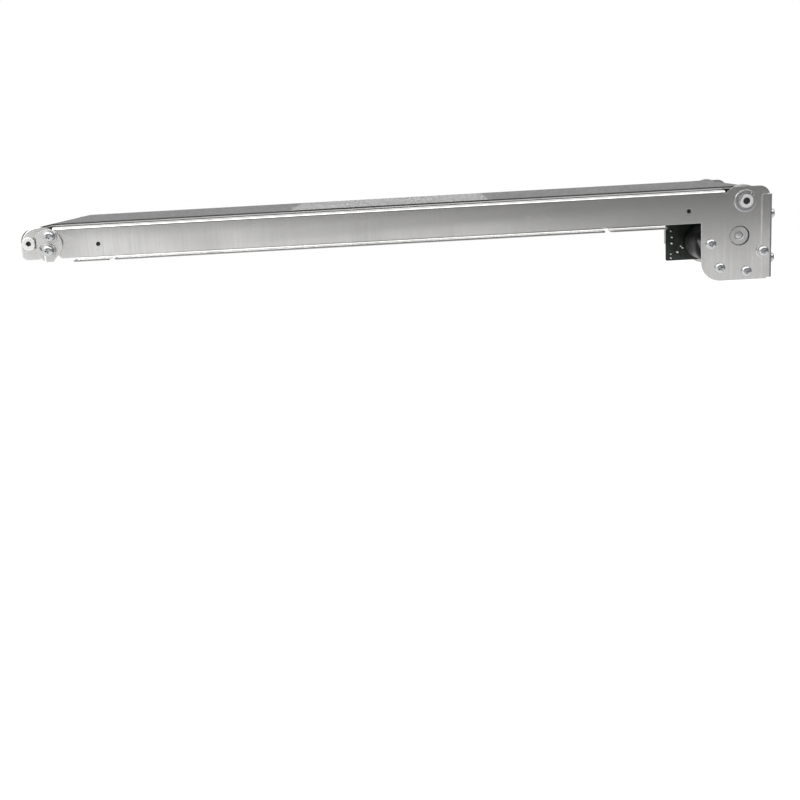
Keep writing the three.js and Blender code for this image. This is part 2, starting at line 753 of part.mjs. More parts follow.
function sideScrew(name, place, sign, face, shank) {
  const screw = piece(name, screwBody(shank), zinc);
  screw.position.set(place.x, sign * face, place.y);
  screw.rotation.set(sign < 0 ? Math.PI : 0, 0, 0);
  return screw;
}

function endScrew(name, place) {
  const screw = piece(name, screwBody(SHORT_SHANK), zinc);
  screw.position.copy(place).add(new THREE.Vector3(SEAT_GAP, 0, 0));
  screw.rotation.set(0, 0, -Math.PI / 2);
  return screw;
}

function frameGroup() {
  const coverFace = COVER_SIDE_Y + SEAT_GAP;
  const plateFace = OUTER_Y + SEAT_GAP;
  const ends = SIDES.flatMap(({ label, sign }) =>
    endScrewPlaces(sign).map((place, i) => endScrew(`end_screw_${label}_${i + 1}`, place)),
  );
  return group(
    piece("folded_frame", frameBody(), stainless),
    piece("end_cover", coverBody(), stainless),
    sideScrew("cover_screw_far", COVER_SCREW, 1, coverFace, SHORT_SHANK),
    ...ends,
    ...GEARBOX_SCREWS.map((offset, i) => {
      const last = i === GEARBOX_SCREWS.length - 1;
      const place = OUTPUT.clone().add(offset);
      return sideScrew(`gearbox_screw_${i + 1}`, place, -1, last ? coverFace : plateFace, SHORT_SHANK);
    }),
  );
}

// Belt: wrapped over the idler, the nose of the bed and the drive roller.
function beltWheels() {
  const nose = at(TONGUE_START + FOLD, CHANNEL_HEIGHT - FOLD);
  return [
    { centre: IDLER, radius: IDLER_ROLLER_RADIUS + SEAT_GAP, steps: MEDIUM_STEPS },
    { centre: DRIVE, radius: DRIVE_ROLLER_RADIUS + SEAT_GAP, steps: MEDIUM_STEPS },
    { centre: nose, radius: FOLD + SEAT_GAP, steps: CROWN_STEPS },
  ];
}

function beltMesh() {
  const inner = wrapOutline(beltWheels(), 0);
  const outer = wrapOutline(beltWheels(), BELT_THICKNESS);
  return piece("conveyor_belt", slabY(outer, BELT_NEAR, BELT_FAR, [inner]), beltFabric);
}

// Tensioners.
function discSlot() {
  const start = LOCK_OFFSET.clone().sub(PIVOT_OFFSET);
  const from = start.angle();
  const to = from - DISC_SLOT_SWEEP;
  const reach = start.length();
  const end = (turn, first) =>
    arc(polar(DISC_PIVOT, reach, turn), DISC_SLOT_HALF, first, first - Math.PI, SMALL_STEPS / 2);
  return [
    ...arc(DISC_PIVOT, reach - DISC_SLOT_HALF, to, from, MEDIUM_STEPS / 2).slice(1, -1),
    ...end(from, from + Math.PI),
    ...arc(DISC_PIVOT, reach + DISC_SLOT_HALF, from, to, MEDIUM_STEPS / 2).slice(1, -1),
    ...end(to, to),
  ];
}

function discOutline() {
  const flatTurn = Math.acos(-DISC_FLAT / DISC_RADIUS);
  const notchTop = LOBE_STEP + NOTCH_DEPTH - LOBE_DEPTH;
  const corners = [
    at(-DISC_FLAT, LOBE_HEEL.y / 2),
    LOBE_HEEL,
    at(-LOBE_LEFT, LOBE_STEP - LOBE_DEPTH),
    at(-LOBE_LEFT, notchTop),
    at(NOTCH_WIDTH - LOBE_LEFT, notchTop),
    at(NOTCH_WIDTH - LOBE_LEFT, -LOBE_DEPTH),
    at(LOBE_RIGHT, -LOBE_DEPTH),
  ];
  return [
    ...arc(DISC, DISC_RADIUS, DISC_ARC_START, flatTurn, MEDIUM_STEPS),
    ...corners.map((corner) => DISC.clone().add(corner)),
  ];
}

function discBody(sign) {
  const holes = [circle(DISC_PIVOT, SCREW_HOLE_RADIUS, SMALL_STEPS), discSlot()];
  return slabY(discOutline(), ...between(sign, OUTER_Y + SEAT_GAP, DISC_FACE_Y), holes);
}

function springWasher(low, high) {
  const split = boxBetween(
    new THREE.Vector3(0, low - OVERRUN, -SEAT_GAP),
    new THREE.Vector3(SPRING_WASHER_RADIUS + OVERRUN, high + OVERRUN, SEAT_GAP),
  );
  const coil = ring(SCREW_HOLE_RADIUS, SPRING_WASHER_RADIUS, low, high, MEDIUM_STEPS);
  return less(solidOf(coil), [split]);
}

function tensionFasteners({ label, sign }) {
  const washerLow = DISC_FACE_Y + SEAT_GAP;
  const washerHigh = washerLow + WASHER_THICKNESS;
  const springLow = washerHigh + SEAT_GAP;
  const springHigh = springLow + SPRING_WASHER_THICKNESS;
  const shank = springHigh + SEAT_GAP - INNER_Y + SHEET;
  const places = [
    ["pivot", DISC_PIVOT],
    ["lock", DISC_LOCK],
  ];
  return places.flatMap(([use, place]) => {
    const washerSpan = between(sign, washerLow, washerHigh);
    const springSpan = between(sign, springLow, springHigh);
    const washer = piece(
      `${use}_washer_${label}`,
      ring(SCREW_HOLE_RADIUS, WASHER_RADIUS, ...washerSpan, MEDIUM_STEPS),
      zinc,
    );
    const spring = piece(`${use}_spring_washer_${label}`, springWasher(...springSpan), zinc);
    for (const mesh of [washer, spring]) mesh.position.set(place.x, 0, place.y);
    return [washer, spring, sideScrew(`${use}_screw_${label}`, place, sign, springHigh + SEAT_GAP, shank)];
  });
}

function tensionGroup(side) {
  return group(
    piece(`tension_disc_${side.label}`, discBody(side.sign), stainless),
    ...tensionFasteners(side),
  );
}

// Idler: a fixed axle in the slotted ears, and a roller that turns on it in two end caps.
function idlerAxleBody() {
  const face = OUTER_Y + SEAT_GAP;
  const end = face + IDLER_HEAD_LENGTH;
  const edge = SEAT_GAP;
  const half = [
    at(IDLER_SHAFT_RADIUS, face),
    at(IDLER_HEAD_RADIUS, face),
    at(IDLER_HEAD_RADIUS, end - edge),
    at(IDLER_HEAD_RADIUS - edge, end),
    at(IDLER_TAP_RADIUS, end),
    at(IDLER_TAP_RADIUS, end - IDLER_TAP_DEPTH),
    at(0, end - IDLER_TAP_DEPTH),
  ];
  const mirrored = half.map((p) => at(p.x, -p.y)).reverse();
  return turned([...mirrored, ...half], MEDIUM_STEPS);
}

function idlerTube() {
  const inner = IDLER_ROLLER_RADIUS - IDLER_WALL;
  return ring(
    inner,
    IDLER_ROLLER_RADIUS,
    BELT_NEAR - IDLER_OVERHANG,
    BELT_FAR + IDLER_OVERHANG,
    LARGE_STEPS,
  );
}

function idlerCap(sign) {
  const face = sign < 0 ? -(BELT_NEAR - IDLER_OVERHANG) : BELT_FAR + IDLER_OVERHANG;
  const bore = IDLER_SHAFT_RADIUS + RUN_GAP;
  const seat = face + SEAT_GAP;
  const profile = [
    at(bore, face - CAP_PLUG),
    at(IDLER_ROLLER_RADIUS - IDLER_WALL - SEAT_GAP, face - CAP_PLUG),
    at(IDLER_ROLLER_RADIUS - IDLER_WALL - SEAT_GAP, seat),
    at(IDLER_ROLLER_RADIUS, seat),
    at(IDLER_ROLLER_RADIUS, seat + CAP_FLANGE),
    at(CAP_NECK_RADIUS, seat + CAP_FLANGE + CAP_CONE),
    at(bore, seat + CAP_FLANGE + CAP_CONE),
  ];
  return turned(
    profile.map((p) => at(p.x, sign * p.y)),
    MEDIUM_STEPS,
  );
}

function idlerGroup() {
  const idler = group(
    piece("idler_axle", idlerAxleBody(), brightSteel),
    piece("idler_roller", idlerTube(), brightSteel),
    ...SIDES.map(({ label, sign }) => piece(`idler_cap_${label}`, idlerCap(sign), zinc)),
  );
  idler.position.set(IDLER.x, 0, IDLER.y);
  return idler;
}

// Gears.
function involute(turn) {
  return Math.tan(turn) - turn;
}

function gearOutline(centre, teeth, phase) {
  const pitch = (teeth * GEAR_MODULE) / 2;
  const base = pitch * Math.cos(PRESSURE);
  const tip = pitch + PITCH_TO_TIP;
  const root = pitch - ROOT_DEPTH;
  const halfAtPitch = Math.PI / (2 * teeth) - BACKLASH / (2 * pitch);
  const halfAt = (r) => halfAtPitch + involute(PRESSURE) - involute(Math.acos(Math.min(1, base / r)));
  const low = Math.max(base, root);
  const radii = Array.from({ length: FLANK_STEPS + 1 }, (_, i) => low + ((tip - low) * i) / FLANK_STEPS);
  const points = [];
  for (let tooth = 0; tooth < teeth; tooth++) {
    const middle = phase + (2 * Math.PI * tooth) / teeth;
    points.push(polar(centre, root, middle - halfAt(low)));
    for (const r of radii) points.push(polar(centre, r, middle - halfAt(r)));
    for (const r of [...radii].reverse()) points.push(polar(centre, r, middle + halfAt(r)));
    points.push(polar(centre, root, middle + halfAt(low)));
  }
  return points;
}

function rollerGearBody() {
  const bore = SHAFT_RADIUS + RUN_GAP;
  const hole = circle(DRIVE, bore, MEDIUM_STEPS);
  const teeth = slabY(gearOutline(DRIVE, ROLLER_TEETH, OUTPUT_TURN), TEETH_OUTER_Y, TEETH_INNER_Y, [hole]);
  const rims = [
    ring(bore, RIM_RADIUS, TEETH_INNER_Y, GEAR_INNER_Y, MEDIUM_STEPS, DRIVE),
    ring(bore, RIM_RADIUS, GEAR_OUTER_Y, TEETH_OUTER_Y, MEDIUM_STEPS, DRIVE),
  ];
  return joined([teeth, ...rims]);
}

function outputGearBody() {
  const meshTurn = OUTPUT_TURN + Math.PI + Math.PI / OUTPUT_TEETH;
  const low = TEETH_OUTER_Y + SEAT_GAP;
  const high = TEETH_INNER_Y - SEAT_GAP;
  const hole = circle(OUTPUT, OUTPUT_SHAFT_RADIUS + RUN_GAP, SMALL_STEPS);
  const blank = solidOf(slabY(gearOutline(OUTPUT, OUTPUT_TEETH, meshTurn), low, high, [hole]));
  const recess = ring(
    OUTPUT_HUB_RADIUS,
    OUTPUT_WEB_RADIUS,
    low - OVERRUN,
    low + OUTPUT_WEB_DEPTH,
    MEDIUM_STEPS,
    OUTPUT,
  );
  return less(blank, [recess]);
}

// Drive roller with its shaft, gear and rim: one turning assembly, flattened at each end of the shaft.
function shaftFlatCutter(sign, end) {
  const [from, to] = between(sign, end - SHAFT_FLAT_LENGTH, end + OVERRUN);
  return boxBetween(
    new THREE.Vector3(SHAFT_FLAT_REACH, from, -SHAFT_RADIUS),
    new THREE.Vector3(SHAFT_RADIUS + OVERRUN, to, SHAFT_RADIUS),
  )
    .rotateY(-SHAFT_FLAT_TURN)
    .translate(DRIVE.x, 0, DRIVE.y);
}

function driveShaftBody() {
  const flangeFace = OUTER_Y + SEAT_GAP + BUSH_FLANGE;
  const grooveLow = flangeFace + SEAT_GAP;
  const grooveHigh = grooveLow + CLIP_THICKNESS + 2 * SEAT_GAP;
  const end = grooveHigh + SHAFT_STUB;
  const neck = SHAFT_RADIUS - CLIP_GROOVE;
  const half = [
    at(SHAFT_RADIUS, grooveLow),
    at(neck, grooveLow),
    at(neck, grooveHigh),
    at(SHAFT_RADIUS, grooveHigh),
    at(SHAFT_RADIUS, end - SEAT_GAP),
    at(SHAFT_RADIUS - SEAT_GAP, end),
    at(SHAFT_TAP_RADIUS, end),
    at(SHAFT_TAP_RADIUS, end - SHAFT_TAP_DEPTH),
    at(0, end - SHAFT_TAP_DEPTH),
  ];
  const mirrored = half.map((p) => at(p.x, -p.y)).reverse();
  const round = solidOf(turned([...mirrored, ...half], MEDIUM_STEPS, DRIVE));
  return less(round, SIDES.map(({ sign }) => shaftFlatCutter(sign, end)));
}

// Retaining clip: an open band in the shaft's groove, with a holed ear at each end.
function clipBody(sign) {
  const low = OUTER_Y + BUSH_FLANGE + 3 * SEAT_GAP;
  const [from, to] = between(sign, low, low + CLIP_THICKNESS);
  const inner = SHAFT_RADIUS - CLIP_GROOVE + SEAT_GAP;
  const [first, second] = CLIP_EAR_TURNS;
  const start = second + CLIP_EAR_HALF;
  const end = 2 * Math.PI + first - CLIP_EAR_HALF;
  const outline = [
    ...arc(DRIVE, CLIP_EAR_REACH, second - CLIP_EAR_HALF, start, CROWN_STEPS),
    ...arc(DRIVE, CLIP_RADIUS, start, end, MEDIUM_STEPS),
    ...arc(DRIVE, CLIP_EAR_REACH, end, end + 2 * CLIP_EAR_HALF, CROWN_STEPS),
    ...arc(DRIVE, inner, end + 2 * CLIP_EAR_HALF, second - CLIP_EAR_HALF, SMALL_STEPS),
  ];
  const holes = CLIP_EAR_TURNS.map((turn) =>
    circle(polar(DRIVE, CLIP_HOLE_REACH, turn), CLIP_HOLE_RADIUS, SMALL_STEPS),
  );
  return slabY(outline, from, to, holes);
}

function driveGroup() {
  const bore = SHAFT_RADIUS + RUN_GAP;
  const farFace = BELT_FAR + SEAT_GAP;
  return group(
    piece("drive_shaft", driveShaftBody(), brightSteel),
    piece("drive_roller", ring(bore, DRIVE_ROLLER_RADIUS, BELT_NEAR, BELT_FAR, LARGE_STEPS, DRIVE), zinc),
    piece("roller_gear", rollerGearBody(), whitePlastic),
    piece(
      "belt_guide_rim",
      ring(bore, RIM_RADIUS, farFace, farFace + FAR_RIM_WIDTH, LARGE_STEPS, DRIVE),
      whitePlastic,
    ),
    ...SIDES.map(({ label, sign }) => piece(`retaining_clip_${label}`, clipBody(sign), zinc)),
  );
}

// Flanged bush: the flange outside the plate, the barrel reaching in to the part that it locates.
function bushBody(sign) {
  const reach = sign < 0 ? -GEAR_OUTER_Y + SEAT_GAP : BELT_FAR + FAR_RIM_WIDTH + 2 * SEAT_GAP;
  const bore = SHAFT_RADIUS + RUN_GAP;
  const face = OUTER_Y + SEAT_GAP;
  const profile = [
    at(bore, reach),
    at(BUSH_RADIUS, reach),
    at(BUSH_RADIUS, face),
    at(BUSH_FLANGE_RADIUS, face),
    at(BUSH_FLANGE_RADIUS, face + BUSH_FLANGE - SEAT_GAP),
    at(BUSH_FLANGE_RADIUS - SEAT_GAP, face + BUSH_FLANGE),
    at(bore, face + BUSH_FLANGE),
  ];
  return turned(
    profile.map((p) => at(p.x, sign * p.y)),
    MEDIUM_STEPS,
    DRIVE,
  );
}

// Gearmotor.
function gearboxOutline(shrink) {
  const rounds = [
    { centre: OUTPUT, radius: GEARBOX_BOSS_RADIUS },
    ...GEARBOX_SCREWS.map((p) => ({ centre: OUTPUT.clone().add(p), radius: LUG_RADIUS })),
  ];
  return hullOutline(rounds.flatMap(({ centre, radius }) => circle(centre, radius - shrink, SMALL_STEPS)));
}

function gearboxPlateBody() {
  const postEnd = -INNER_Y + SEAT_GAP;
  const plate = slabY(gearboxOutline(0), GEARBOX_FACE_Y, GEARBOX_FACE_Y + GEARBOX_PLATE, [
    circle(OUTPUT, OUTPUT_SHAFT_RADIUS + RUN_GAP, SMALL_STEPS),
  ]);
  const places = GEARBOX_SCREWS.map((p) => OUTPUT.clone().add(p));
  const posts = places.map((p) => drum(POST_RADIUS, postEnd, GEARBOX_FACE_Y + SEAT_GAP, SMALL_STEPS, p));
  const taps = places.map((p) =>
    drum(SCREW_HOLE_RADIUS, postEnd - OVERRUN, GEARBOX_FACE_Y - SEAT_GAP, SMALL_STEPS, p),
  );
  return less(joined([plate, ...posts]), taps);
}

function gearboxHousingBody() {
  const foot = slabY(gearboxOutline(0), HOUSING_FRONT_Y, HOUSING_FRONT_Y + GEARBOX_PLATE);
  const body = slabY(gearboxOutline(GEARBOX_DRAFT), HOUSING_FRONT_Y, HOUSING_BACK_Y);
  const bore = drum(
    OUTPUT_SHAFT_RADIUS + SEAT_GAP,
    HOUSING_FRONT_Y - OVERRUN,
    HOUSING_FRONT_Y + GEARBOX_DEPTH / 2 + SEAT_GAP,
    SMALL_STEPS,
    OUTPUT,
  );
  return less(joined([foot, body]), [bore]);
}

function outputShaftBody() {
  const tip = -OUTER_Y + BOSS_SINK + BOSS_DIMPLE;
  const profile = [
    at(0, tip + BOSS_DIMPLE / 2),
    at(OUTPUT_SHAFT_RADIUS - BOSS_DIMPLE, tip),
    at(OUTPUT_SHAFT_RADIUS, tip),
    at(OUTPUT_SHAFT_RADIUS, HOUSING_FRONT_Y + GEARBOX_DEPTH / 2),
    at(0, HOUSING_FRONT_Y + GEARBOX_DEPTH / 2),
  ];
  return turned(profile, MEDIUM_STEPS, OUTPUT);
}

function outputBossBody() {
  const low = -OUTER_Y + BOSS_SINK;
  const high = TEETH_OUTER_Y;
  const bore = OUTPUT_SHAFT_RADIUS + RUN_GAP;
  const profile = [
    at(bore, low + BOSS_DISH),
    at(BOSS_DISH_RADIUS, low),
    at(BOSS_RADIUS - SEAT_GAP, low),
    at(BOSS_RADIUS, low + SEAT_GAP),
    at(BOSS_RADIUS, high),
    at(bore, high),
  ];
  return turned(profile, MEDIUM_STEPS, OUTPUT);
}

function motorCanBody() {
  const edge = (y, sign) => [
    at(MOTOR_RADIUS - MOTOR_EDGE, y),
    at(MOTOR_RADIUS - MOTOR_EDGE / 3, y + (sign * MOTOR_EDGE) / 3),
    at(MOTOR_RADIUS, y + sign * MOTOR_EDGE),
  ];
  const profile = [
    at(0, MOTOR_FRONT_Y),
    ...edge(MOTOR_FRONT_Y, 1),
    ...edge(MOTOR_BACK_Y, -1).reverse(),
    at(0, MOTOR_BACK_Y),
  ];
  return turned(profile, LARGE_STEPS, MOTOR);
}

function boardBody() {
  return boxBetween(
    new THREE.Vector3(MOTOR.x - BOARD_LEFT, BOARD_FRONT_Y, MOTOR.y - BOARD_BOTTOM),
    new THREE.Vector3(MOTOR.x + BOARD_RIGHT, BOARD_BACK_Y, MOTOR.y + BOARD_TOP),
  );
}

// Board connector: an open box header on the board's rear face.
function connectorBody() {
  const left = MOTOR.x - BOARD_LEFT + CONNECTOR_INSET;
  const top = MOTOR.y + BOARD_TOP - CONNECTOR_DROP;
  const low = new THREE.Vector3(left, BOARD_BACK_Y + SEAT_GAP, top - CONNECTOR_HEIGHT);
  const high = new THREE.Vector3(left + CONNECTOR_WIDTH, low.y + CONNECTOR_DEPTH, top);
  const wall = new THREE.Vector3(CONNECTOR_WALL, CONNECTOR_WALL, CONNECTOR_WALL);
  const inside = boxBetween(
    low.clone().add(wall),
    high.clone().sub(wall).setY(high.y + OVERRUN),
  );
  return less(solidOf(boxBetween(low, high)), [inside]);
}

function gearmotorGroup() {
  const capacitorPlace = at(MOTOR.x - BOARD_LEFT / 2, MOTOR.y);
  const partFace = BOARD_BACK_Y + SEAT_GAP;
  return group(
    piece("gearbox_plate", gearboxPlateBody(), castAlloy),
    piece("gearbox_housing", gearboxHousingBody(), castAlloy),
    piece("output_shaft", outputShaftBody(), brightSteel),
    piece("output_gear", outputGearBody(), whitePlastic),
    piece("output_boss", outputBossBody(), castAlloy),
    piece("motor_can", motorCanBody(), zinc),
    piece(
      "motor_end_cap",
      drum(MOTOR_CAP_RADIUS, MOTOR_CAP_Y, MOTOR_CAP_Y + MOTOR_CAP, MEDIUM_STEPS, MOTOR),
      blackPlastic,
    ),
    piece("driver_board", boardBody(), boardGreen),
    piece("board_connector", connectorBody(), whitePlastic),
    piece(
      "board_capacitor",
      drum(CAPACITOR_RADIUS, partFace, partFace + CAPACITOR_LENGTH, MEDIUM_STEPS, capacitorPlace),
      blackPlastic,
    ),
  );
}

const conveyor = new THREE.Group();
conveyor.add(
  frameGroup(),
  beltMesh(),
  ...SIDES.map(tensionGroup),
  idlerGroup(),
  driveGroup(),
  ...SIDES.map(({ label, sign }) => piece(`shaft_bush_${label}`, bushBody(sign), zinc)),
  gearmotorGroup(),
);

export default conveyor;
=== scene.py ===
"""Looks of the belt conveyor: each visible piece, its finish, the light and the camera."""

from __future__ import annotations

import logging
import math
from dataclasses import dataclass, field
from enum import Enum
from typing import Iterable, Sequence

import bmesh
import bpy
from mathutils import Matrix, Vector


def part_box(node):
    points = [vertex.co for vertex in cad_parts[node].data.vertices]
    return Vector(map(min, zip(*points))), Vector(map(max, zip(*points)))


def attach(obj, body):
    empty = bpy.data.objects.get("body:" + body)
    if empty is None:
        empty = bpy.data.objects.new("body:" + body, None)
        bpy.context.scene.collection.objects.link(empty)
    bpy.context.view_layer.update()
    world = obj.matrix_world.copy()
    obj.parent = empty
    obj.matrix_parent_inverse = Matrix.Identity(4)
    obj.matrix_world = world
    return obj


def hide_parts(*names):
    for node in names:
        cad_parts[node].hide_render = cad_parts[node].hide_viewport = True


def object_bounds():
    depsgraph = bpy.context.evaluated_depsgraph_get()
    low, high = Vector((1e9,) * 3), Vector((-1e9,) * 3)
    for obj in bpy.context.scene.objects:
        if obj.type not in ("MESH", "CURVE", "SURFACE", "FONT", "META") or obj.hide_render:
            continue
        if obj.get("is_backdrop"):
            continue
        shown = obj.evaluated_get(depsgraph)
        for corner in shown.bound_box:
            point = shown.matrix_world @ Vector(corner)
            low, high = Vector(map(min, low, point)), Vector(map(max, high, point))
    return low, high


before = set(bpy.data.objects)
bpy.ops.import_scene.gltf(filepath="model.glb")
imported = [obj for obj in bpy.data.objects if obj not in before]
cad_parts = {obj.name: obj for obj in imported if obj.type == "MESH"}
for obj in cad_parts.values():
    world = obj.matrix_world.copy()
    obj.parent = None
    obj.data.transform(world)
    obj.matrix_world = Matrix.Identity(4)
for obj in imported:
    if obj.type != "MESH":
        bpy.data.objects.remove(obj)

LOG = logging.getLogger("conveyor")
MM = 0.001
FULL_TURN = 2 * math.pi

# Metres within which points count as one, and the share of a normal below which a face stands square on
WELD = 1e-6
SQUARE_ON = 0.1

# Threads of tapped holes, in millimetres inwards from the hole's radius or from its mouth and bottom
THREAD_CREST = 0.35
THREAD_ROOT = 0.08
THREAD_WALL = 0.02
THREAD_LEAD = 0.1
THREAD_FOOT = (0.5, 0.3)

# Values that faces carry for the materials
# The cut edge mark gives the sheared faces their duller colour, and on the tabs' edges it is also painted
# shade.
CUT_EDGE_AND_SHADE = "cut_edge_and_shade"
PLY = "ply"

Colour = tuple[float, float, float]
Point = tuple[float, float]
Point3 = tuple[float, float, float]


class Body(str, Enum):
    """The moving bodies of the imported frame."""

    FRAME = "frame"
    DRIVE = "drive_roller"
    OUTPUT = "output"
    AXLE = "idler_axle"
    ROLLER = "idler_roller"
    NEAR_DISC = "near_disc"
    FAR_DISC = "far_disc"


class Slot(str, Enum):
    """The record's material slots."""

    STAINLESS = "stainless"
    ZINC = "zinc"
    BRIGHT = "bright_steel"
    BELT = "belt"
    WHITE = "white_plastic"
    BLACK = "black_plastic"
    CAST = "cast_alloy"
    BOARD = "board_green"


class Side(Enum):
    """The two long sides; the value is the sign along Y."""

    NEAR = -1
    FAR = 1

    @property
    def label(self) -> str:
        """The side's part of a node name."""
        return self.name.lower()


# Node graphs and finishes


@dataclass
class Graph:
    """A node tree with short calls to add and join nodes."""

    tree: bpy.types.NodeTree

    def node(self, kind: str, **settings: object) -> bpy.types.Node:
        """Adds a node.

        Args:
            kind: The node's type name.
            **settings: Properties to set on it.

        Returns:
            The new node.
        """
        made = self.tree.nodes.new(kind)
        for name, value in settings.items():
            setattr(made, name, value)
        return made

    def link(self, source: bpy.types.NodeSocket, target: bpy.types.NodeSocket) -> None:
        """Joins an output to an input."""
        self.tree.links.new(source, target)

    def feed(self, target: bpy.types.NodeSocket, value: object) -> None:
        """Links a socket, or sets a plain value, on an input.

        Args:
            target: The input.
            value: A socket or a plain value.
        """
        if isinstance(value, bpy.types.NodeSocket):
            self.link(value, target)
        else:
            target.default_value = value

    def math(self, operation: str, first: object, second: object = 0.0) -> bpy.types.NodeSocket:
        """Adds a Math node.

        Args:
            operation: The Math node's operation.
            first: A socket or number.
            second: A socket or number.

        Returns:
            The node's output.
        """
        made = self.node("ShaderNodeMath", operation=operation)
        self.feed(made.inputs[0], first)
        self.feed(made.inputs[1], second)
        return made.outputs[0]

    def ramp(
        self, value: object, low: float, high: float, to_low: float, to_high: float
    ) -> bpy.types.NodeSocket:
        """Maps a value from one range to another, clamped.

        Args:
            value: The socket to map.
            low: Start of the range that goes in.
            high: End of the range that goes in.
            to_low: Start of the range that comes out.
            to_high: End of the range that comes out.

        Returns:
            The mapped value.
        """
        made = self.node("ShaderNodeMapRange")
        numbers = (low, high, to_low, to_high)
        self.feed(made.inputs[0], value)
        for socket, number in zip(list(made.inputs)[1:5], numbers):
            socket.default_value = number
        return made.outputs[0]

    def mix(self, mask: object, first: object, second: object) -> bpy.types.NodeSocket:
        """Mixes two colours by a mask.

        Args:
            mask: 0 gives the first colour and 1 the second.
            first: A colour or socket.
            second: A colour or socket.

        Returns:
            The mixed colour.
        """
        made = self.node("ShaderNodeMix", data_type="RGBA")
        self.feed(made.inputs[0], mask)
        for socket, value in zip((made.inputs[6], made.inputs[7]), (first, second)):
            self.feed(socket, (*value, 1.0) if isinstance(value, tuple) else value)
        return made.outputs[2]

    def effect(self, group: bpy.types.NodeTree, **inputs: object) -> bpy.types.Node:
        """Places an effect group and sets its named inputs.

        Args:
            group: The shader node group.
            **inputs: Values or sockets, by input name in lower case.

        Returns:
            The group node.
        """
        made = self.node("ShaderNodeGroup", node_tree=group)
        for name, value in inputs.items():
            self.feed(made.inputs[name.capitalize()], value)
        return made

    def noise(self, vector: object, scale: object, **settings: float) -> bpy.types.NodeSocket:
        """Adds a noise texture.

        Args:
            vector: The socket with its coordinates.
            scale: A socket or number.
            **settings: Its other inputs, by name in lower case.

        Returns:
            The noise's value.
        """
        made = self.node("ShaderNodeTexNoise")
        self.link(vector, made.inputs["Vector"])
        self.feed(made.inputs["Scale"], scale)
        for name, value in settings.items():
            made.inputs[name.capitalize()].default_value = value
        return made.outputs[0]

    def emboss(
        self, shader: bpy.types.Node, relief: bpy.types.NodeSocket, height: float, strength: float
    ) -> None:
        """Feeds a bump to a shader's Normal.

        Args:
            shader: The Principled node.
            relief: The socket that says how high each place lies.
            height: The height of a full step, in millimetres.
            strength: The Bump node's strength.
        """
        bump = self.node("ShaderNodeBump")
        bump.inputs["Strength"].default_value = strength
        bump.inputs["Distance"].default_value = height * MM
        self.link(relief, bump.inputs["Height"])
        self.link(bump.outputs[0], shader.inputs["Normal"])


def new_group(
    name: str, inputs: dict[str, str], outputs: Sequence[str]
) -> tuple[Graph, dict[str, bpy.types.NodeSocket], dict[str, bpy.types.NodeSocket]]:
    """Starts a shader node group.

    Args:
        name: The group's name.
        inputs: The kind of each input, Vector or Float, by name.
        outputs: Names of the float outputs.

    Returns:
        The graph, its input sockets by name and its output sockets by name.
    """
    tree = bpy.data.node_groups.new(name, "ShaderNodeTree")
    for label, kind in inputs.items():
        tree.interface.new_socket(label, in_out="INPUT", socket_type=f"NodeSocket{kind}")
    for label in outputs:
        tree.interface.new_socket(label, in_out="OUTPUT", socket_type="NodeSocketFloat")
    graph = Graph(tree)
    start = graph.node("NodeGroupInput")
    end = graph.node("NodeGroupOutput")
    return graph, {s.name: s for s in start.outputs}, {s.name: s for s in end.inputs}


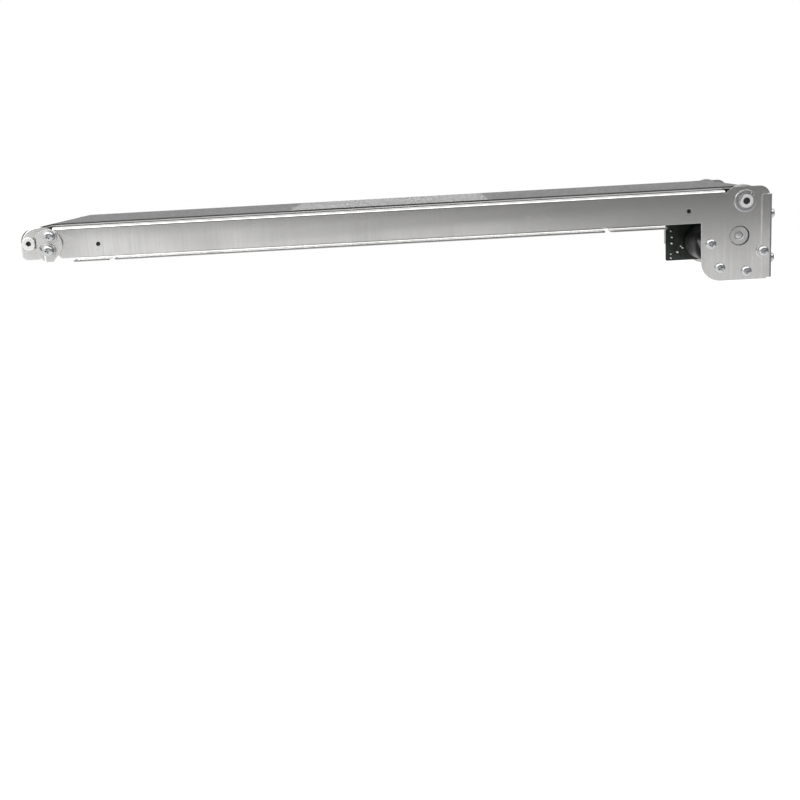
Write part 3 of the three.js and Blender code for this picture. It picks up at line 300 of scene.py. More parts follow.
class Effects:
    """Shader node groups that several finishes share, each built once."""

    def __init__(self) -> None:
        """Builds the groups."""
        self.streaks = self._streaks()
        self.clouds = self._clouds()
        self.specks = self._specks()
        self.weave = self._weave()
        self.scratches = self._scratches()

    @staticmethod
    def _streaks() -> bpy.types.NodeTree:
        """Fine parallel lines left by brushing or rolling.

        Returns:
            The group; its Stretch sets the lines' density along each axis.
        """
        graph, given, out = new_group("brushed_streaks", {"Vector": "Vector", "Stretch": "Vector"}, ["Mask"])
        scaled = graph.node("ShaderNodeVectorMath", operation="MULTIPLY")
        graph.link(given["Vector"], scaled.inputs[0])
        graph.link(given["Stretch"], scaled.inputs[1])
        lines = graph.noise(scaled.outputs[0], 1.0, detail=4.0, roughness=0.65)
        graph.link(graph.ramp(lines, 0.3, 0.7, 0.0, 1.0), out["Mask"])
        return graph.tree

    @staticmethod
    def _clouds() -> bpy.types.NodeTree:
        """Broad soft blotches, as left by handling and uneven cleaning.

        Returns:
            The group.
        """
        graph, given, out = new_group("soft_clouds", {"Vector": "Vector", "Scale": "Float"}, ["Mask"])
        blotches = graph.noise(given["Vector"], given["Scale"], detail=3.0, roughness=0.5)
        graph.link(graph.ramp(blotches, 0.3, 0.7, 0.0, 1.0), out["Mask"])
        return graph.tree

    @staticmethod
    def _specks() -> bpy.types.NodeTree:
        """Grain of a cast or moulded skin, and sparse pits or dust specks.

        Returns:
            The group; Height is the grain and Mask the specks.
        """
        inputs = {"Vector": "Vector", "Scale": "Float"}
        graph, given, out = new_group("grain_and_specks", inputs, ["Height", "Mask"])
        graph.link(graph.noise(given["Vector"], given["Scale"], detail=2.0), out["Height"])
        cells = graph.node("ShaderNodeTexVoronoi", feature="F1")
        graph.link(given["Vector"], cells.inputs["Vector"])
        graph.link(given["Scale"], cells.inputs["Scale"])
        graph.link(graph.ramp(cells.outputs[0], 0.04, 0.14, 1.0, 0.0), out["Mask"])
        return graph.tree

    @staticmethod
    def _weave() -> bpy.types.NodeTree:
        """Plain weave from a surface map in metres.

        Returns:
            The group; Pitch is the thread spacing, and Height that of whichever thread lies on top.
        """
        inputs = {"Vector": "Vector", "Pitch": "Float"}
        graph, given, out = new_group("belt_weave", inputs, ["Height"])
        parts = graph.node("ShaderNodeSeparateXYZ")
        graph.link(given["Vector"], parts.inputs[0])
        turn = graph.math("DIVIDE", math.pi, given["Pitch"])
        along = graph.math("SINE", graph.math("MULTIPLY", parts.outputs[0], turn))
        across = graph.math("SINE", graph.math("MULTIPLY", parts.outputs[1], turn))
        which = graph.math("GREATER_THAN", graph.math("MULTIPLY", along, across), 0.0)
        over = graph.math("MULTIPLY", graph.math("ABSOLUTE", along), which)
        under = graph.math("MULTIPLY", graph.math("ABSOLUTE", across), graph.math("SUBTRACT", 1.0, which))
        graph.link(graph.math("ADD", over, under), out["Height"])
        return graph.tree

    @staticmethod
    def _scratches() -> bpy.types.NodeTree:
        """Thin sparse scratches, the level lines of a bent noise.

        Returns:
            The group.
        """
        graph, given, out = new_group("thin_scratches", {"Vector": "Vector", "Scale": "Float"}, ["Mask"])
        level = graph.noise(given["Vector"], given["Scale"], detail=1.0, distortion=2.5)
        ridge = graph.math("ABSOLUTE", graph.math("SUBTRACT", level, 0.5))
        graph.link(graph.ramp(ridge, 0.0, 0.004, 1.0, 0.0), out["Mask"])
        return graph.tree


def new_material(name: str) -> tuple[bpy.types.Material, Graph, bpy.types.Node]:
    """Starts a material.

    Args:
        name: The material's name.

    Returns:
        The material, its graph and its Principled node.
    """
    material = bpy.data.materials.new(name)
    material.use_nodes = True
    graph = Graph(material.node_tree)
    shader = material.node_tree.nodes["Principled BSDF"]
    return material, graph, shader


@dataclass(frozen=True)
class MetalFinish:
    """A bare or plated metal with directional grain, blotches, thin scratches and duller sheared edges,
    whose colour on the frame's tab edges also paints shade.
    """

    name: str
    dark: Colour
    light: Colour
    smooth: float
    rough: float
    stretch: Point3
    grain_height: float = 0.004
    cloud_scale: float = 18.0
    cloud_share: float = 0.35
    scratch_scale: float = 60.0
    scratch_rough: float = 0.12
    metallic: float = 1.0
    sheared: float = 0.0

    def build(self, effects: Effects) -> bpy.types.Material:
        """Makes the material.

        Args:
            effects: The shared node groups.

        Returns:
            The material.
        """
        material, graph, shader = new_material(self.name)
        place = graph.node("ShaderNodeTexCoord").outputs["Object"]
        grain = graph.effect(effects.streaks, vector=place, stretch=self.stretch).outputs["Mask"]
        cloud = graph.effect(effects.clouds, vector=place, scale=self.cloud_scale).outputs["Mask"]
        scratch = graph.effect(effects.scratches, vector=place, scale=self.scratch_scale).outputs["Mask"]
        kept = graph.math("MULTIPLY", grain, 1.0 - self.cloud_share)
        tone = graph.math("ADD", kept, graph.math("MULTIPLY", cloud, self.cloud_share))
        bare = graph.mix(tone, self.dark, self.light)
        if self.sheared:
            # Cut faces take the duller sheared colour; on the tabs' edges it also paints the shade and dark
            # reflection along their rims.
            cut = graph.node("ShaderNodeAttribute", attribute_name=CUT_EDGE_AND_SHADE).outputs["Fac"]
            bare = graph.mix(cut, bare, (self.sheared, self.sheared, self.sheared))
        graph.link(bare, shader.inputs["Base Color"])
        worn = graph.math("MULTIPLY", scratch, self.scratch_rough)
        base = graph.ramp(tone, 0.0, 1.0, self.rough, self.smooth)
        graph.link(graph.math("ADD", base, worn), shader.inputs["Roughness"])
        graph.emboss(shader, graph.math("SUBTRACT", grain, scratch), self.grain_height, 0.5)
        shader.inputs["Metallic"].default_value = self.metallic
        return material


@dataclass(frozen=True)
class MouldedFinish:
    """A plastic, lacquered or cast skin with fine grain, soft tone changes and specks of dust."""

    name: str
    dark: Colour
    light: Colour
    smooth: float
    rough: float
    grain_scale: float = 900.0
    grain_height: float = 0.02
    cloud_scale: float = 60.0
    dust: Colour = (0.3, 0.3, 0.29)
    dust_share: float = 0.15
    metallic: float = 0.0
    coat: float = 0.0

    def build(self, effects: Effects) -> bpy.types.Material:
        """Makes the material.

        Args:
            effects: The shared node groups.

        Returns:
            The material.
        """
        material, graph, shader = new_material(self.name)
        place = graph.node("ShaderNodeTexCoord").outputs["Object"]
        cloud = graph.effect(effects.clouds, vector=place, scale=self.cloud_scale).outputs["Mask"]
        grain = graph.effect(effects.specks, vector=place, scale=self.grain_scale)
        tone = graph.mix(cloud, self.dark, self.light)
        dusty = graph.math("MULTIPLY", grain.outputs["Mask"], self.dust_share)
        graph.link(graph.mix(dusty, tone, self.dust), shader.inputs["Base Color"])
        graph.link(graph.ramp(cloud, 0.0, 1.0, self.smooth, self.rough), shader.inputs["Roughness"])
        graph.emboss(shader, grain.outputs["Height"], self.grain_height, 0.4)
        shader.inputs["Metallic"].default_value = self.metallic
        shader.inputs["Coat Weight"].default_value = self.coat
        return material


@dataclass(frozen=True)
class BeltFinish:
    """Woven charcoal belt face with a smooth splice, a pale carcass under it and pale lint."""

    name: str = "woven_belt"
    dark: Colour = (0.009, 0.009, 0.010)
    light: Colour = (0.075, 0.075, 0.076)
    thread_share: float = 0.6
    cloud_share: float = 0.15
    cloud_scale: float = 14.0
    cloud_rough: float = 0.08
    weft_share: float = 0.55
    weft_rough: float = 0.7
    weft_stretch: Point3 = (800.0, 45.0, 45.0)
    lint: Colour = (0.14, 0.14, 0.13)
    lint_share: float = 0.12
    lint_scale: float = 420.0
    splice: Colour = (0.009, 0.009, 0.010)
    splice_start: float = -0.0738
    splice_end: float = 0.0807
    splice_soften: float = 0.0015
    splice_press: float = 0.85
    pitch: float = 0.00085
    weave_height: float = 0.05
    rough_weave: float = 0.62
    rough_splice: float = 0.27
    sheen: float = 0.40
    sheen_rough: float = 0.4
    carcass: Colour = (0.68, 0.68, 0.67)
    carcass_share: float = 0.45
    carcass_soften: float = 0.04

    def _in_splice(self, graph: Graph, chart: bpy.types.NodeSocket) -> bpy.types.NodeSocket:
        """Where the splice lies along the belt's run.

        Args:
            graph: The material's graph.
            chart: The surface map.

        Returns:
            1 in the splice and 0 outside.
        """
        parts = graph.node("ShaderNodeSeparateXYZ")
        graph.link(chart, parts.inputs[0])
        run, soft = parts.outputs[0], self.splice_soften
        entered = graph.ramp(run, self.splice_start - soft, self.splice_start + soft, 0.0, 1.0)
        left = graph.ramp(run, self.splice_end - soft, self.splice_end + soft, 1.0, 0.0)
        return graph.math("MULTIPLY", entered, left)

    def build(self, effects: Effects) -> bpy.types.Material:
        """Makes the material.

        Args:
            effects: The shared node groups.

        Returns:
            The material.
        """
        material, graph, shader = new_material(self.name)
        chart = graph.node("ShaderNodeTexCoord").outputs["UV"]
        weave = graph.effect(effects.weave, vector=chart, pitch=self.pitch).outputs["Height"]
        cloud = graph.effect(effects.clouds, vector=chart, scale=self.cloud_scale).outputs["Mask"]
        weft = graph.effect(effects.streaks, vector=chart, stretch=self.weft_stretch).outputs["Mask"]
        lint = graph.effect(effects.specks, vector=chart, scale=self.lint_scale)
        inside = self._in_splice(graph, chart)
        thread = graph.math("MULTIPLY", weave, lint.outputs["Height"])
        shade = graph.math("MULTIPLY", thread, self.thread_share)
        for mask, share in ((cloud, self.cloud_share), (weft, self.weft_share)):
            shade = graph.math("ADD", shade, graph.math("MULTIPLY", mask, share))
        cloth = graph.mix(shade, self.dark, self.light)
        linty = graph.math("MULTIPLY", lint.outputs["Mask"], self.lint_share)
        topped = graph.mix(inside, graph.mix(linty, cloth, self.lint), self.splice)
        height = graph.node("ShaderNodeAttribute", attribute_name=PLY).outputs["Fac"]
        split, blur = self.carcass_share, self.carcass_soften
        under = graph.ramp(height, split - blur, split + blur, 1.0, 0.0)
        graph.link(graph.mix(under, topped, self.carcass), shader.inputs["Base Color"])
        rough = graph.ramp(inside, 0.0, 1.0, self.rough_weave, self.rough_splice)
        uneven = graph.math("MULTIPLY", graph.math("SUBTRACT", weft, 0.5), self.weft_rough)
        varied = graph.math("ADD", graph.math("MULTIPLY", cloud, self.cloud_rough), uneven)
        graph.link(graph.math("ADD", rough, varied), shader.inputs["Roughness"])
        kept = graph.math("SUBTRACT", 1.0, graph.math("MULTIPLY", inside, self.splice_press))
        graph.emboss(shader, graph.math("MULTIPLY", weave, kept), self.weave_height, 0.8)
        shader.inputs["Sheen Weight"].default_value = self.sheen
        shader.inputs["Sheen Roughness"].default_value = self.sheen_rough
        return material


class Finishes:
    """All the materials, built once and taken by name."""

    def __init__(self) -> None:
        """Builds every finish."""
        effects = Effects()
        across = (800.0, 25.0, 25.0)
        even = (2400.0, 2400.0, 2400.0)
        around = (120.0, 1600.0, 120.0)
        steel = dict(
            dark=(0.61, 0.605, 0.597), light=(0.79, 0.785, 0.775), smooth=0.12, rough=0.18, cloud_share=0.6
        )
        # The sheared colour of the cut faces also paints the shade along the tabs' edges.
        self.sheet = MetalFinish("brushed_sheet", **steel, stretch=across, sheared=0.34).build(effects)
        self.cover = MetalFinish("brushed_cover", **steel, stretch=across).build(effects)
        self.disc = MetalFinish(
            "tumbled_disc", (0.55, 0.55, 0.54), (0.72, 0.72, 0.71), 0.32, 0.42, even, cloud_scale=90.0
        ).build(effects)
        self.zinc = MetalFinish(
            "bright_zinc", (0.44, 0.45, 0.46), (0.60, 0.61, 0.62), 0.20, 0.32, even, cloud_scale=150.0
        ).build(effects)
        # Bright turned steel; its light base also paints the highlight that turning grooves give the axle's
        # end face.
        self.turned = MetalFinish(
            "turned_steel_painted_highlight", (0.78, 0.78, 0.78), (0.92, 0.92, 0.91), 0.26, 0.40, around, cloud_scale=80.0
        ).build(effects)
        # A machined shaft end; its near-white, mostly non-metallic base paints the bright highlight of the
        # turned face.
        self.faced = MetalFinish(
            "faced_steel_painted_highlight",
            (0.92, 0.92, 0.92),
            (0.97, 0.97, 0.96),
            0.40,
            0.52,
            around,
            cloud_scale=80.0,
            metallic=0.15,
        ).build(effects)
        # The motor can's near-black base paints the shade that it sits in between the side plates; its
        # zinc-plated steel is lighter.
        self.motor = MetalFinish(
            "drawn_can_painted_shade", (0.05, 0.05, 0.052), (0.08, 0.08, 0.083), 0.46, 0.54, around, cloud_scale=50.0
        ).build(effects)
        self.spring = MetalFinish(
            "spring_steel", (0.46, 0.46, 0.46), (0.56, 0.56, 0.56), 0.24, 0.34, even, cloud_scale=150.0
        ).build(effects)
        self.solder = MetalFinish(
            "solder", (0.50, 0.50, 0.48), (0.75, 0.75, 0.72), 0.22, 0.40, even, cloud_scale=600.0
        ).build(effects)
        self.pins = MetalFinish(
            "tinned_pin", (0.55, 0.50, 0.36), (0.74, 0.70, 0.55), 0.22, 0.34, even, cloud_scale=300.0
        ).build(effects)
        self.cast = MouldedFinish(
            "die_cast", (0.15, 0.15, 0.153), (0.24, 0.24, 0.24), 0.42, 0.58, grain_height=0.05, metallic=0.85
        ).build(effects)
        self.boss = MouldedFinish(
            "machined_boss", (0.56, 0.56, 0.56), (0.66, 0.66, 0.655), 0.34, 0.46, metallic=0.9
        ).build(effects)
        self.white = MouldedFinish(
            "white_acetal", (0.68, 0.68, 0.65), (0.80, 0.80, 0.78), 0.34, 0.48, dust=(0.45, 0.44, 0.42)
        ).build(effects)
        self.black = MouldedFinish(
            "black_moulding", (0.014, 0.014, 0.015), (0.03, 0.03, 0.032), 0.38, 0.52
        ).build(effects)
        # Dark colour of the threaded cups in the shaft ends: it paints the shade inside the tapped holes.
        self.bore = MouldedFinish(
            "hole_painted_shade", (0.09, 0.09, 0.088), (0.14, 0.14, 0.137), 0.4, 0.55
        ).build(effects)
        self.board = MouldedFinish(
            "green_lacquer",
            (0.006, 0.014, 0.009),
            (0.012, 0.028, 0.016),
            0.30,
            0.42,
            grain_scale=500.0,
            cloud_scale=180.0,
            dust=(0.06, 0.10, 0.07),
            coat=0.3,
        ).build(effects)
        self.sleeve = MouldedFinish(
            "shrink_sleeve", (0.012, 0.014, 0.03), (0.02, 0.024, 0.05), 0.25, 0.35
        ).build(effects)
        self.belt = BeltFinish().build(effects)


# Mesh making


def spot(x: float, y: float, z: float) -> Vector:
    """A point given in millimetres, in metres."""
    return Vector((x, y, z)) * MM


def tidy(mesh: bmesh.types.BMesh) -> bmesh.types.BMesh:
    """Merges doubles and turns the faces outwards.

    Args:
        mesh: The mesh to change.

    Returns:
        The same mesh.
    """
    bmesh.ops.remove_doubles(mesh, verts=mesh.verts[:], dist=WELD)
    bmesh.ops.recalc_face_normals(mesh, faces=mesh.faces[:])
    return mesh


def chain(mesh: bmesh.types.BMesh, points: Iterable[Vector], closed: bool) -> list[bmesh.types.BMEdge]:
    """Adds a line of edges.

    Args:
        mesh: The mesh to add to.
        points: The line's points.
        closed: Whether the last point joins the first.

    Returns:
        The new edges.
    """
    verts = [mesh.verts.new(p) for p in points]
    pairs = list(zip(verts, verts[1:]))
    if closed:
        pairs.append((verts[-1], verts[0]))
    return [mesh.edges.new(pair) for pair in pairs]


def spun(
    profile: Sequence[Point], centre: Point, steps: int = 64, closed: bool = False
) -> bmesh.types.BMesh:
    """A solid of revolution about a line along Y.

    Args:
        profile: Radius and place along Y of each point, in millimetres.
        centre: X and Z of the axis.
        steps: Facets round the axis.
        closed: Whether the profile is a ring of points clear of the axis.

    Returns:
        The mesh.
    """
    mesh = bmesh.new()
    x, z = centre
    edges = chain(mesh, [spot(x + r, y, z) for r, y in profile], closed)
    bmesh.ops.spin(
        mesh,
        geom=[*mesh.verts, *edges],
        cent=spot(x, 0, z),
        axis=(0, 1, 0),
        dvec=(0, 0, 0),
        angle=FULL_TURN,
        steps=steps,
        use_merge=True,
        use_normal_flip=False,
        use_duplicate=False,
    )
    return tidy(mesh)


def plate(
    outline: Sequence[Point], low: float, high: float, holes: Sequence[Sequence[Point]] = ()
) -> bmesh.types.BMesh:
    """A flat plate in the XZ plane.

    Args:
        outline: X and Z of the rim, in millimetres.
        low: The plate's lower face along Y.
        high: The plate's upper face along Y.
        holes: Rims of the holes.

    Returns:
        The mesh.
    """
    mesh = bmesh.new()
    for rim in (outline, *holes):
        chain(mesh, [spot(x, low, z) for x, z in rim], True)
    bmesh.ops.triangle_fill(mesh, use_beauty=True, use_dissolve=True, edges=mesh.edges[:], normal=(0, -1, 0))
    raised = bmesh.ops.extrude_face_region(mesh, geom=mesh.faces[:])
    top = [item for item in raised["geom"] if isinstance(item, bmesh.types.BMVert)]
    bmesh.ops.translate(mesh, verts=top, vec=spot(0, high - low, 0))
    return tidy(mesh)


def block(low: Sequence[float], high: Sequence[float]) -> bmesh.types.BMesh:
    """A box between two corners.

    Args:
        low: The corner with the smallest X, Y and Z, in millimetres.
        high: The corner with the largest.

    Returns:
        The mesh.
    """
    mesh = bmesh.new()
    bmesh.ops.create_cube(mesh, size=1.0)
    size = [b - a for a, b in zip(low, high)]
    middle = [(a + b) / 2 for a, b in zip(low, high)]
    bmesh.ops.scale(mesh, vec=spot(*size), verts=mesh.verts[:])
    bmesh.ops.translate(mesh, vec=spot(*middle), verts=mesh.verts[:])
    return mesh


def cad_copy(node: str) -> bmesh.types.BMesh:
    """A merged copy of a CAD node's mesh, with flat faces made whole.

    Args:
        node: The node's name.

    Returns:
        The copy.
    """
    mesh = bmesh.new()
    mesh.from_mesh(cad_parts[node].data)
    bmesh.ops.remove_doubles(mesh, verts=mesh.verts[:], dist=WELD)
    bmesh.ops.dissolve_degenerate(mesh, dist=10 * WELD, edges=mesh.edges[:])
    bmesh.ops.dissolve_limit(
        mesh,
        angle_limit=math.radians(0.5),
        use_dissolve_boundaries=False,
        verts=mesh.verts[:],
        edges=mesh.edges[:],
        delimit=set(),
    )
    return mesh


def rounded(
    mesh: bmesh.types.BMesh, edges: Sequence[bmesh.types.BMEdge], width: float, segments: int
) -> bmesh.types.BMesh:
    """Rounds chosen edges.

    Args:
        mesh: The mesh to change.
        edges: The edges to round.
        width: The rounding's width, in millimetres.
        segments: Facets across it.

    Returns:
        The same mesh.
    """
    bmesh.ops.bevel(
        mesh,
        geom=edges,
        offset=width * MM,
        offset_type="OFFSET",
        segments=segments,
        profile=0.5,
        affect="EDGES",
        clamp_overlap=False,
        material=-1,
    )
    return mesh


def soften(
    mesh: bmesh.types.BMesh, width: float, segments: int = 2, angle: float = 35.0
) -> bmesh.types.BMesh:
    """Rounds the edges that are sharper than an angle, after points much closer than the width are merged.

    Args:
        mesh: The mesh to change.
        width: The rounding's width, in millimetres.
        segments: Facets across it.
        angle: Degrees above which an edge is sharp.

    Returns:
        The same mesh.
    """
    bmesh.ops.remove_doubles(mesh, verts=mesh.verts[:], dist=width * MM / 5)
    limit = math.radians(angle)
    sharp = [e for e in mesh.edges if len(e.link_faces) == 2 and e.calc_face_angle(0) > limit]
    return rounded(mesh, sharp, width, segments)


def merged(*parts: bmesh.types.BMesh) -> bmesh.types.BMesh:
    """One mesh that holds several.

    Args:
        *parts: The meshes; they are used up.

    Returns:
        The new mesh.
    """
    whole = bmesh.new()
    for part in parts:
        kept = bpy.data.meshes.new("scratch")
        part.to_mesh(kept)
        part.free()
        whole.from_mesh(kept)
        bpy.data.meshes.remove(kept)
    return whole


def moved(mesh: bmesh.types.BMesh, matrix: Matrix) -> bmesh.types.BMesh:
    """Puts a matrix into the mesh itself."""
    bmesh.ops.transform(mesh, matrix=matrix, verts=mesh.verts[:])
    return mesh


def carved(mesh: bmesh.types.BMesh, *cutters: bmesh.types.BMesh) -> bmesh.types.BMesh:
    """Cuts shapes out of a mesh.

    Args:
        mesh: The mesh to cut; it is used up.
        *cutters: The shapes to take away; they are used up.

    Returns:
        The cut mesh.
    """
    scene = bpy.context.scene
    made = []
    for number, shape in enumerate((mesh, *cutters)):
        data = bpy.data.meshes.new(f"scratch_{number}")
        shape.to_mesh(data)
        shape.free()
        piece = bpy.data.objects.new(f"scratch_{number}", data)
        scene.collection.objects.link(piece)
        made.append(piece)
    body, *tools = made
    for tool in tools:
        cut = body.modifiers.new("cut", "BOOLEAN")
        cut.operation = "DIFFERENCE"
        cut.solver = "EXACT"
        cut.object = tool
    bpy.context.view_layer.update()
    whole = body.evaluated_get(bpy.context.evaluated_depsgraph_get())
    result = bmesh.new()
    result.from_mesh(whole.to_mesh())
    whole.to_mesh_clear()
    for piece in made:
        data = piece.data
        bpy.data.objects.remove(piece)
        bpy.data.meshes.remove(data)
    bmesh.ops.remove_doubles(result, verts=result.verts[:], dist=WELD)
    return result


def polar(centre: Point, radius: float, turn: float) -> Point:
    """The point in the XZ plane at a radius and direction from a centre."""
    return centre[0] + radius * math.cos(turn), centre[1] + radius * math.sin(turn)


def ring_points(centre: Point, radius: float, steps: int) -> list[Point]:
    """Points round a circle in the XZ plane."""
    return [polar(centre, radius, FULL_TURN * i / steps) for i in range(steps)]


def facing(profile: Sequence[Point], side: Side) -> list[Point]:
    """A profile of the far side, turned over for the near side."""
    return [(radius, side.value * y) for radius, y in profile]


def quarter(steps: int) -> list[float]:
    """Angles from 0 to a quarter turn."""
    return [math.pi / 2 * i / steps for i in range(steps + 1)]


def fillet(radius: float, inset: float, y: float, sign: int, steps: int = 4) -> list[Point]:
    """Profile points of a rounded outer rim, from the side to the face at y.

    Args:
        radius: The rim's radius.
        inset: The rounding's radius.
        y: Where the face is.
        sign: 1 where the face looks to +Y, -1 to -Y.
        steps: Facets across the rounding.

    Returns:
        Points of radius and place along Y.
    """
    rise = inset * sign
    return [
        (radius - inset + inset * math.cos(t), y - rise + rise * math.sin(t)) for t in quarter(steps)
    ]


def tube_profile(bore: float, radius: float, span: Point, bevel: float) -> list[Point]:
    """Profile points of a tube with bevelled outer edges.

    Args:
        bore: The tube's inner radius.
        radius: Its outer radius.
        span: Where it starts and ends along Y.
        bevel: The bevels' width.

    Returns:
        Points of radius and place along Y.
    """
    low, high = span
    outer = [(radius - bevel, low), (radius, low + bevel), (radius, high - bevel), (radius - bevel, high)]
    return [(bore, low), *outer, (bore, high)]


def tapped_holes(
    centre: Point, radius: float, mouth: float, depth: float, pitch: float
) -> bmesh.types.BMesh:
    """Threaded cups that line the holes in both ends of a shaft.

    Args:
        centre: X and Z of the shaft's axis.
        radius: The holes' radius.
        mouth: Distance of a cup's rim from the shaft's middle.
        depth: The cups' depth.
        pitch: Distance between turns of the thread.

    Returns:
        Both cups as one mesh.
    """
    crest, root, wall = radius - THREAD_CREST, radius - THREAD_ROOT, radius - THREAD_WALL
    bottom, lead = mouth - depth, mouth - THREAD_LEAD
    cup = [(0.0, bottom), (wall, bottom), (wall, mouth)]
    for turn in range(int((depth - 1.0) / pitch)):
        cup += [(root, lead - turn * pitch), (crest, lead - (turn + 0.5) * pitch)]
    rim, middle = THREAD_FOOT
    cup += [(crest, bottom + rim), (0.0, bottom + middle)]
    return merged(*[spun(facing(cup, side), centre, 48) for side in Side])


def show(
    name: str,
    mesh: bmesh.types.BMesh,
    body: Body,
    slot: Slot,
    material: bpy.types.Material,
    replaces: Sequence[str] = (),
    crease: float = 32.0,
) -> bpy.types.Object:
    """Adds a finished piece to the scene.

    Args:
        name: The piece's name.
        mesh: Its shape, in the frame's place; it is used up.
        body: The body that it rides on.
        slot: The record's slot that its finish belongs to; not used.
        material: Its finish.
        replaces: The CAD nodes that it stands for.
        crease: Degrees above which an edge stays sharp in shading.

    Returns:
        The new object.
    """
    data = bpy.data.meshes.new(name)
    mesh.to_mesh(data)
    mesh.free()
    data.shade_smooth()
    data.set_sharp_from_angle(angle=math.radians(crease))
    data.materials.append(material)
    piece = bpy.data.objects.new(name, data)
    bpy.context.scene.collection.objects.link(piece)
    even = piece.modifiers.new("even_normals", "WEIGHTED_NORMAL")
    even.keep_sharp = True
    even.weight = 100
    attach(piece, body.value)
    if replaces:
        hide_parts(*replaces)
    LOG.info("%s rides on %s, %d faces", name, body.value, len(data.polygons))
    return piece


# Places and sizes taken from the solids


def box_of(node: str) -> tuple[Point3, Point3]:
    """Low and high corner of a CAD node's box, in millimetres."""
    low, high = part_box(node)
    return tuple(round(part / MM, 3) for part in low), tuple(round(part / MM, 3) for part in high)


def axis_of(node: str) -> Point:
    """X and Z of the axis of a round CAD node."""
    low, high = box_of(node)
    return round((low[0] + high[0]) / 2, 3), round((low[2] + high[2]) / 2, 3)


def radius_of(node: str) -> float:
    """The largest radius of a round CAD node."""
    low, high = box_of(node)
    return round((high[0] - low[0]) / 2, 3)


def span_of(node: str) -> Point:
    """Where a CAD node starts and ends along Y."""
    low, high = box_of(node)
    return low[1], high[1]


DRIVE = axis_of("drive_roller")
IDLER = axis_of("idler_roller")
OUTPUT = axis_of("output_shaft")
MOTOR = axis_of("motor_can")
BELT_NEAR, BELT_FAR = span_of("conveyor_belt")

# Outside of the webs, thickness of the sheet and gap between clamped pieces, in millimetres
OUTER_Y = 63.5
SHEET = 1.2
GAP = 0.25
PLATE_FACE = OUTER_Y + GAP


@dataclass
class Sheetwork:
    """The folded frame and the end cover."""

    edge_round: float = 0.16
    cover_round: float = 0.18
    tab_root: float = 65.6
    # Share of the sheared colour on the tabs' edges: it paints the shade and dark reflection along them.
    tab_edge_shade: float = 0.95
    ear_round: float = 1.0
    ear_end: float = -258.0
    ear_foot: float = 5.0
    slot_clear: float = 6.0
    notch_end: Sequence[Point] = ((-255.6, 0.9), (-248.8, 0.9), (-253.1, 5.2), (-255.6, 5.2))

    def _on_ear(self, edge: bmesh.types.BMEdge) -> bool:
        """Whether an edge lies on the rim of an ear's outer face, away from the axle's slot.

        Args:
            edge: An edge of the frame.

        Returns:
            True where it does.
        """
        outer = all(abs(abs(v.co.y) - OUTER_Y * MM) < 10 * WELD for v in edge.verts)
        ends = all(v.co.x < self.ear_end * MM and v.co.z > self.ear_foot * MM for v in edge.verts)
        middle = (edge.verts[0].co + edge.verts[1].co) / 2
        away = math.hypot(middle.x - IDLER[0] * MM, middle.z - IDLER[1] * MM)
        sharp = len(edge.link_faces) == 2 and edge.calc_face_angle(0) > math.radians(60)
        return outer and ends and sharp and away > self.slot_clear * MM

    def _round_ears(self, mesh: bmesh.types.BMesh) -> bmesh.types.BMesh:
        """Rounds the outer edge of both ears at the idler end.

        Args:
            mesh: The frame.

        Returns:
            The same mesh.
        """
        rim = [edge for edge in mesh.edges if self._on_ear(edge)]
        LOG.info("ears: %d edges rounded", len(rim))
        return rounded(mesh, rim, self.ear_round, 5)

    def _notch_cutter(self, side: Side) -> bmesh.types.BMesh:
        """The sloping end of the access notch under a tension disc."""
        low, high = sorted((side.value * (OUTER_Y - SHEET - 0.5), side.value * (OUTER_Y + 0.5)))
        return plate(self.notch_end, low, high)

    def _mark_cuts(self, mesh: bmesh.types.BMesh) -> None:
        """Marks the sheared faces of webs, holes and tabs, which are duller than the sheet's skin; on the
        tabs' edges the mark also paints the shade and dark reflection along their rims.

        Args:
            mesh: The frame.
        """
        layer = mesh.faces.layers.float.new(CUT_EDGE_AND_SHADE)
        inner, outer = (OUTER_Y - SHEET) * MM, OUTER_Y * MM
        for face in mesh.faces:
            reach = [abs(v.co.y) for v in face.verts]
            skin = 10 * WELD
            through = max(reach) > outer - skin and min(reach) < inner + skin
            across = through and abs(face.normal.y) < SQUARE_ON
            on_tab = min(reach) > self.tab_root * MM and abs(face.normal.z) < SQUARE_ON
            face[layer] = self.tab_edge_shade if on_tab else float(across and max(reach) < outer + skin)

    def build(self, finishes: Finishes) -> None:
        """Dresses both sheet pieces.

        Args:
            finishes: The materials.
        """
        sheet = carved(cad_copy("folded_frame"), *[self._notch_cutter(side) for side in Side])
        self._mark_cuts(sheet)
        sheet = soften(self._round_ears(sheet), self.edge_round, 2, 40.0)
        show("folded_frame_sheet", sheet, Body.FRAME, Slot.STAINLESS, finishes.sheet, ["folded_frame"], 30.0)
        cover = soften(cad_copy("end_cover"), self.cover_round, 3, 40.0)
        show("end_cover_sheet", cover, Body.FRAME, Slot.STAINLESS, finishes.cover, ["end_cover"], 30.0)


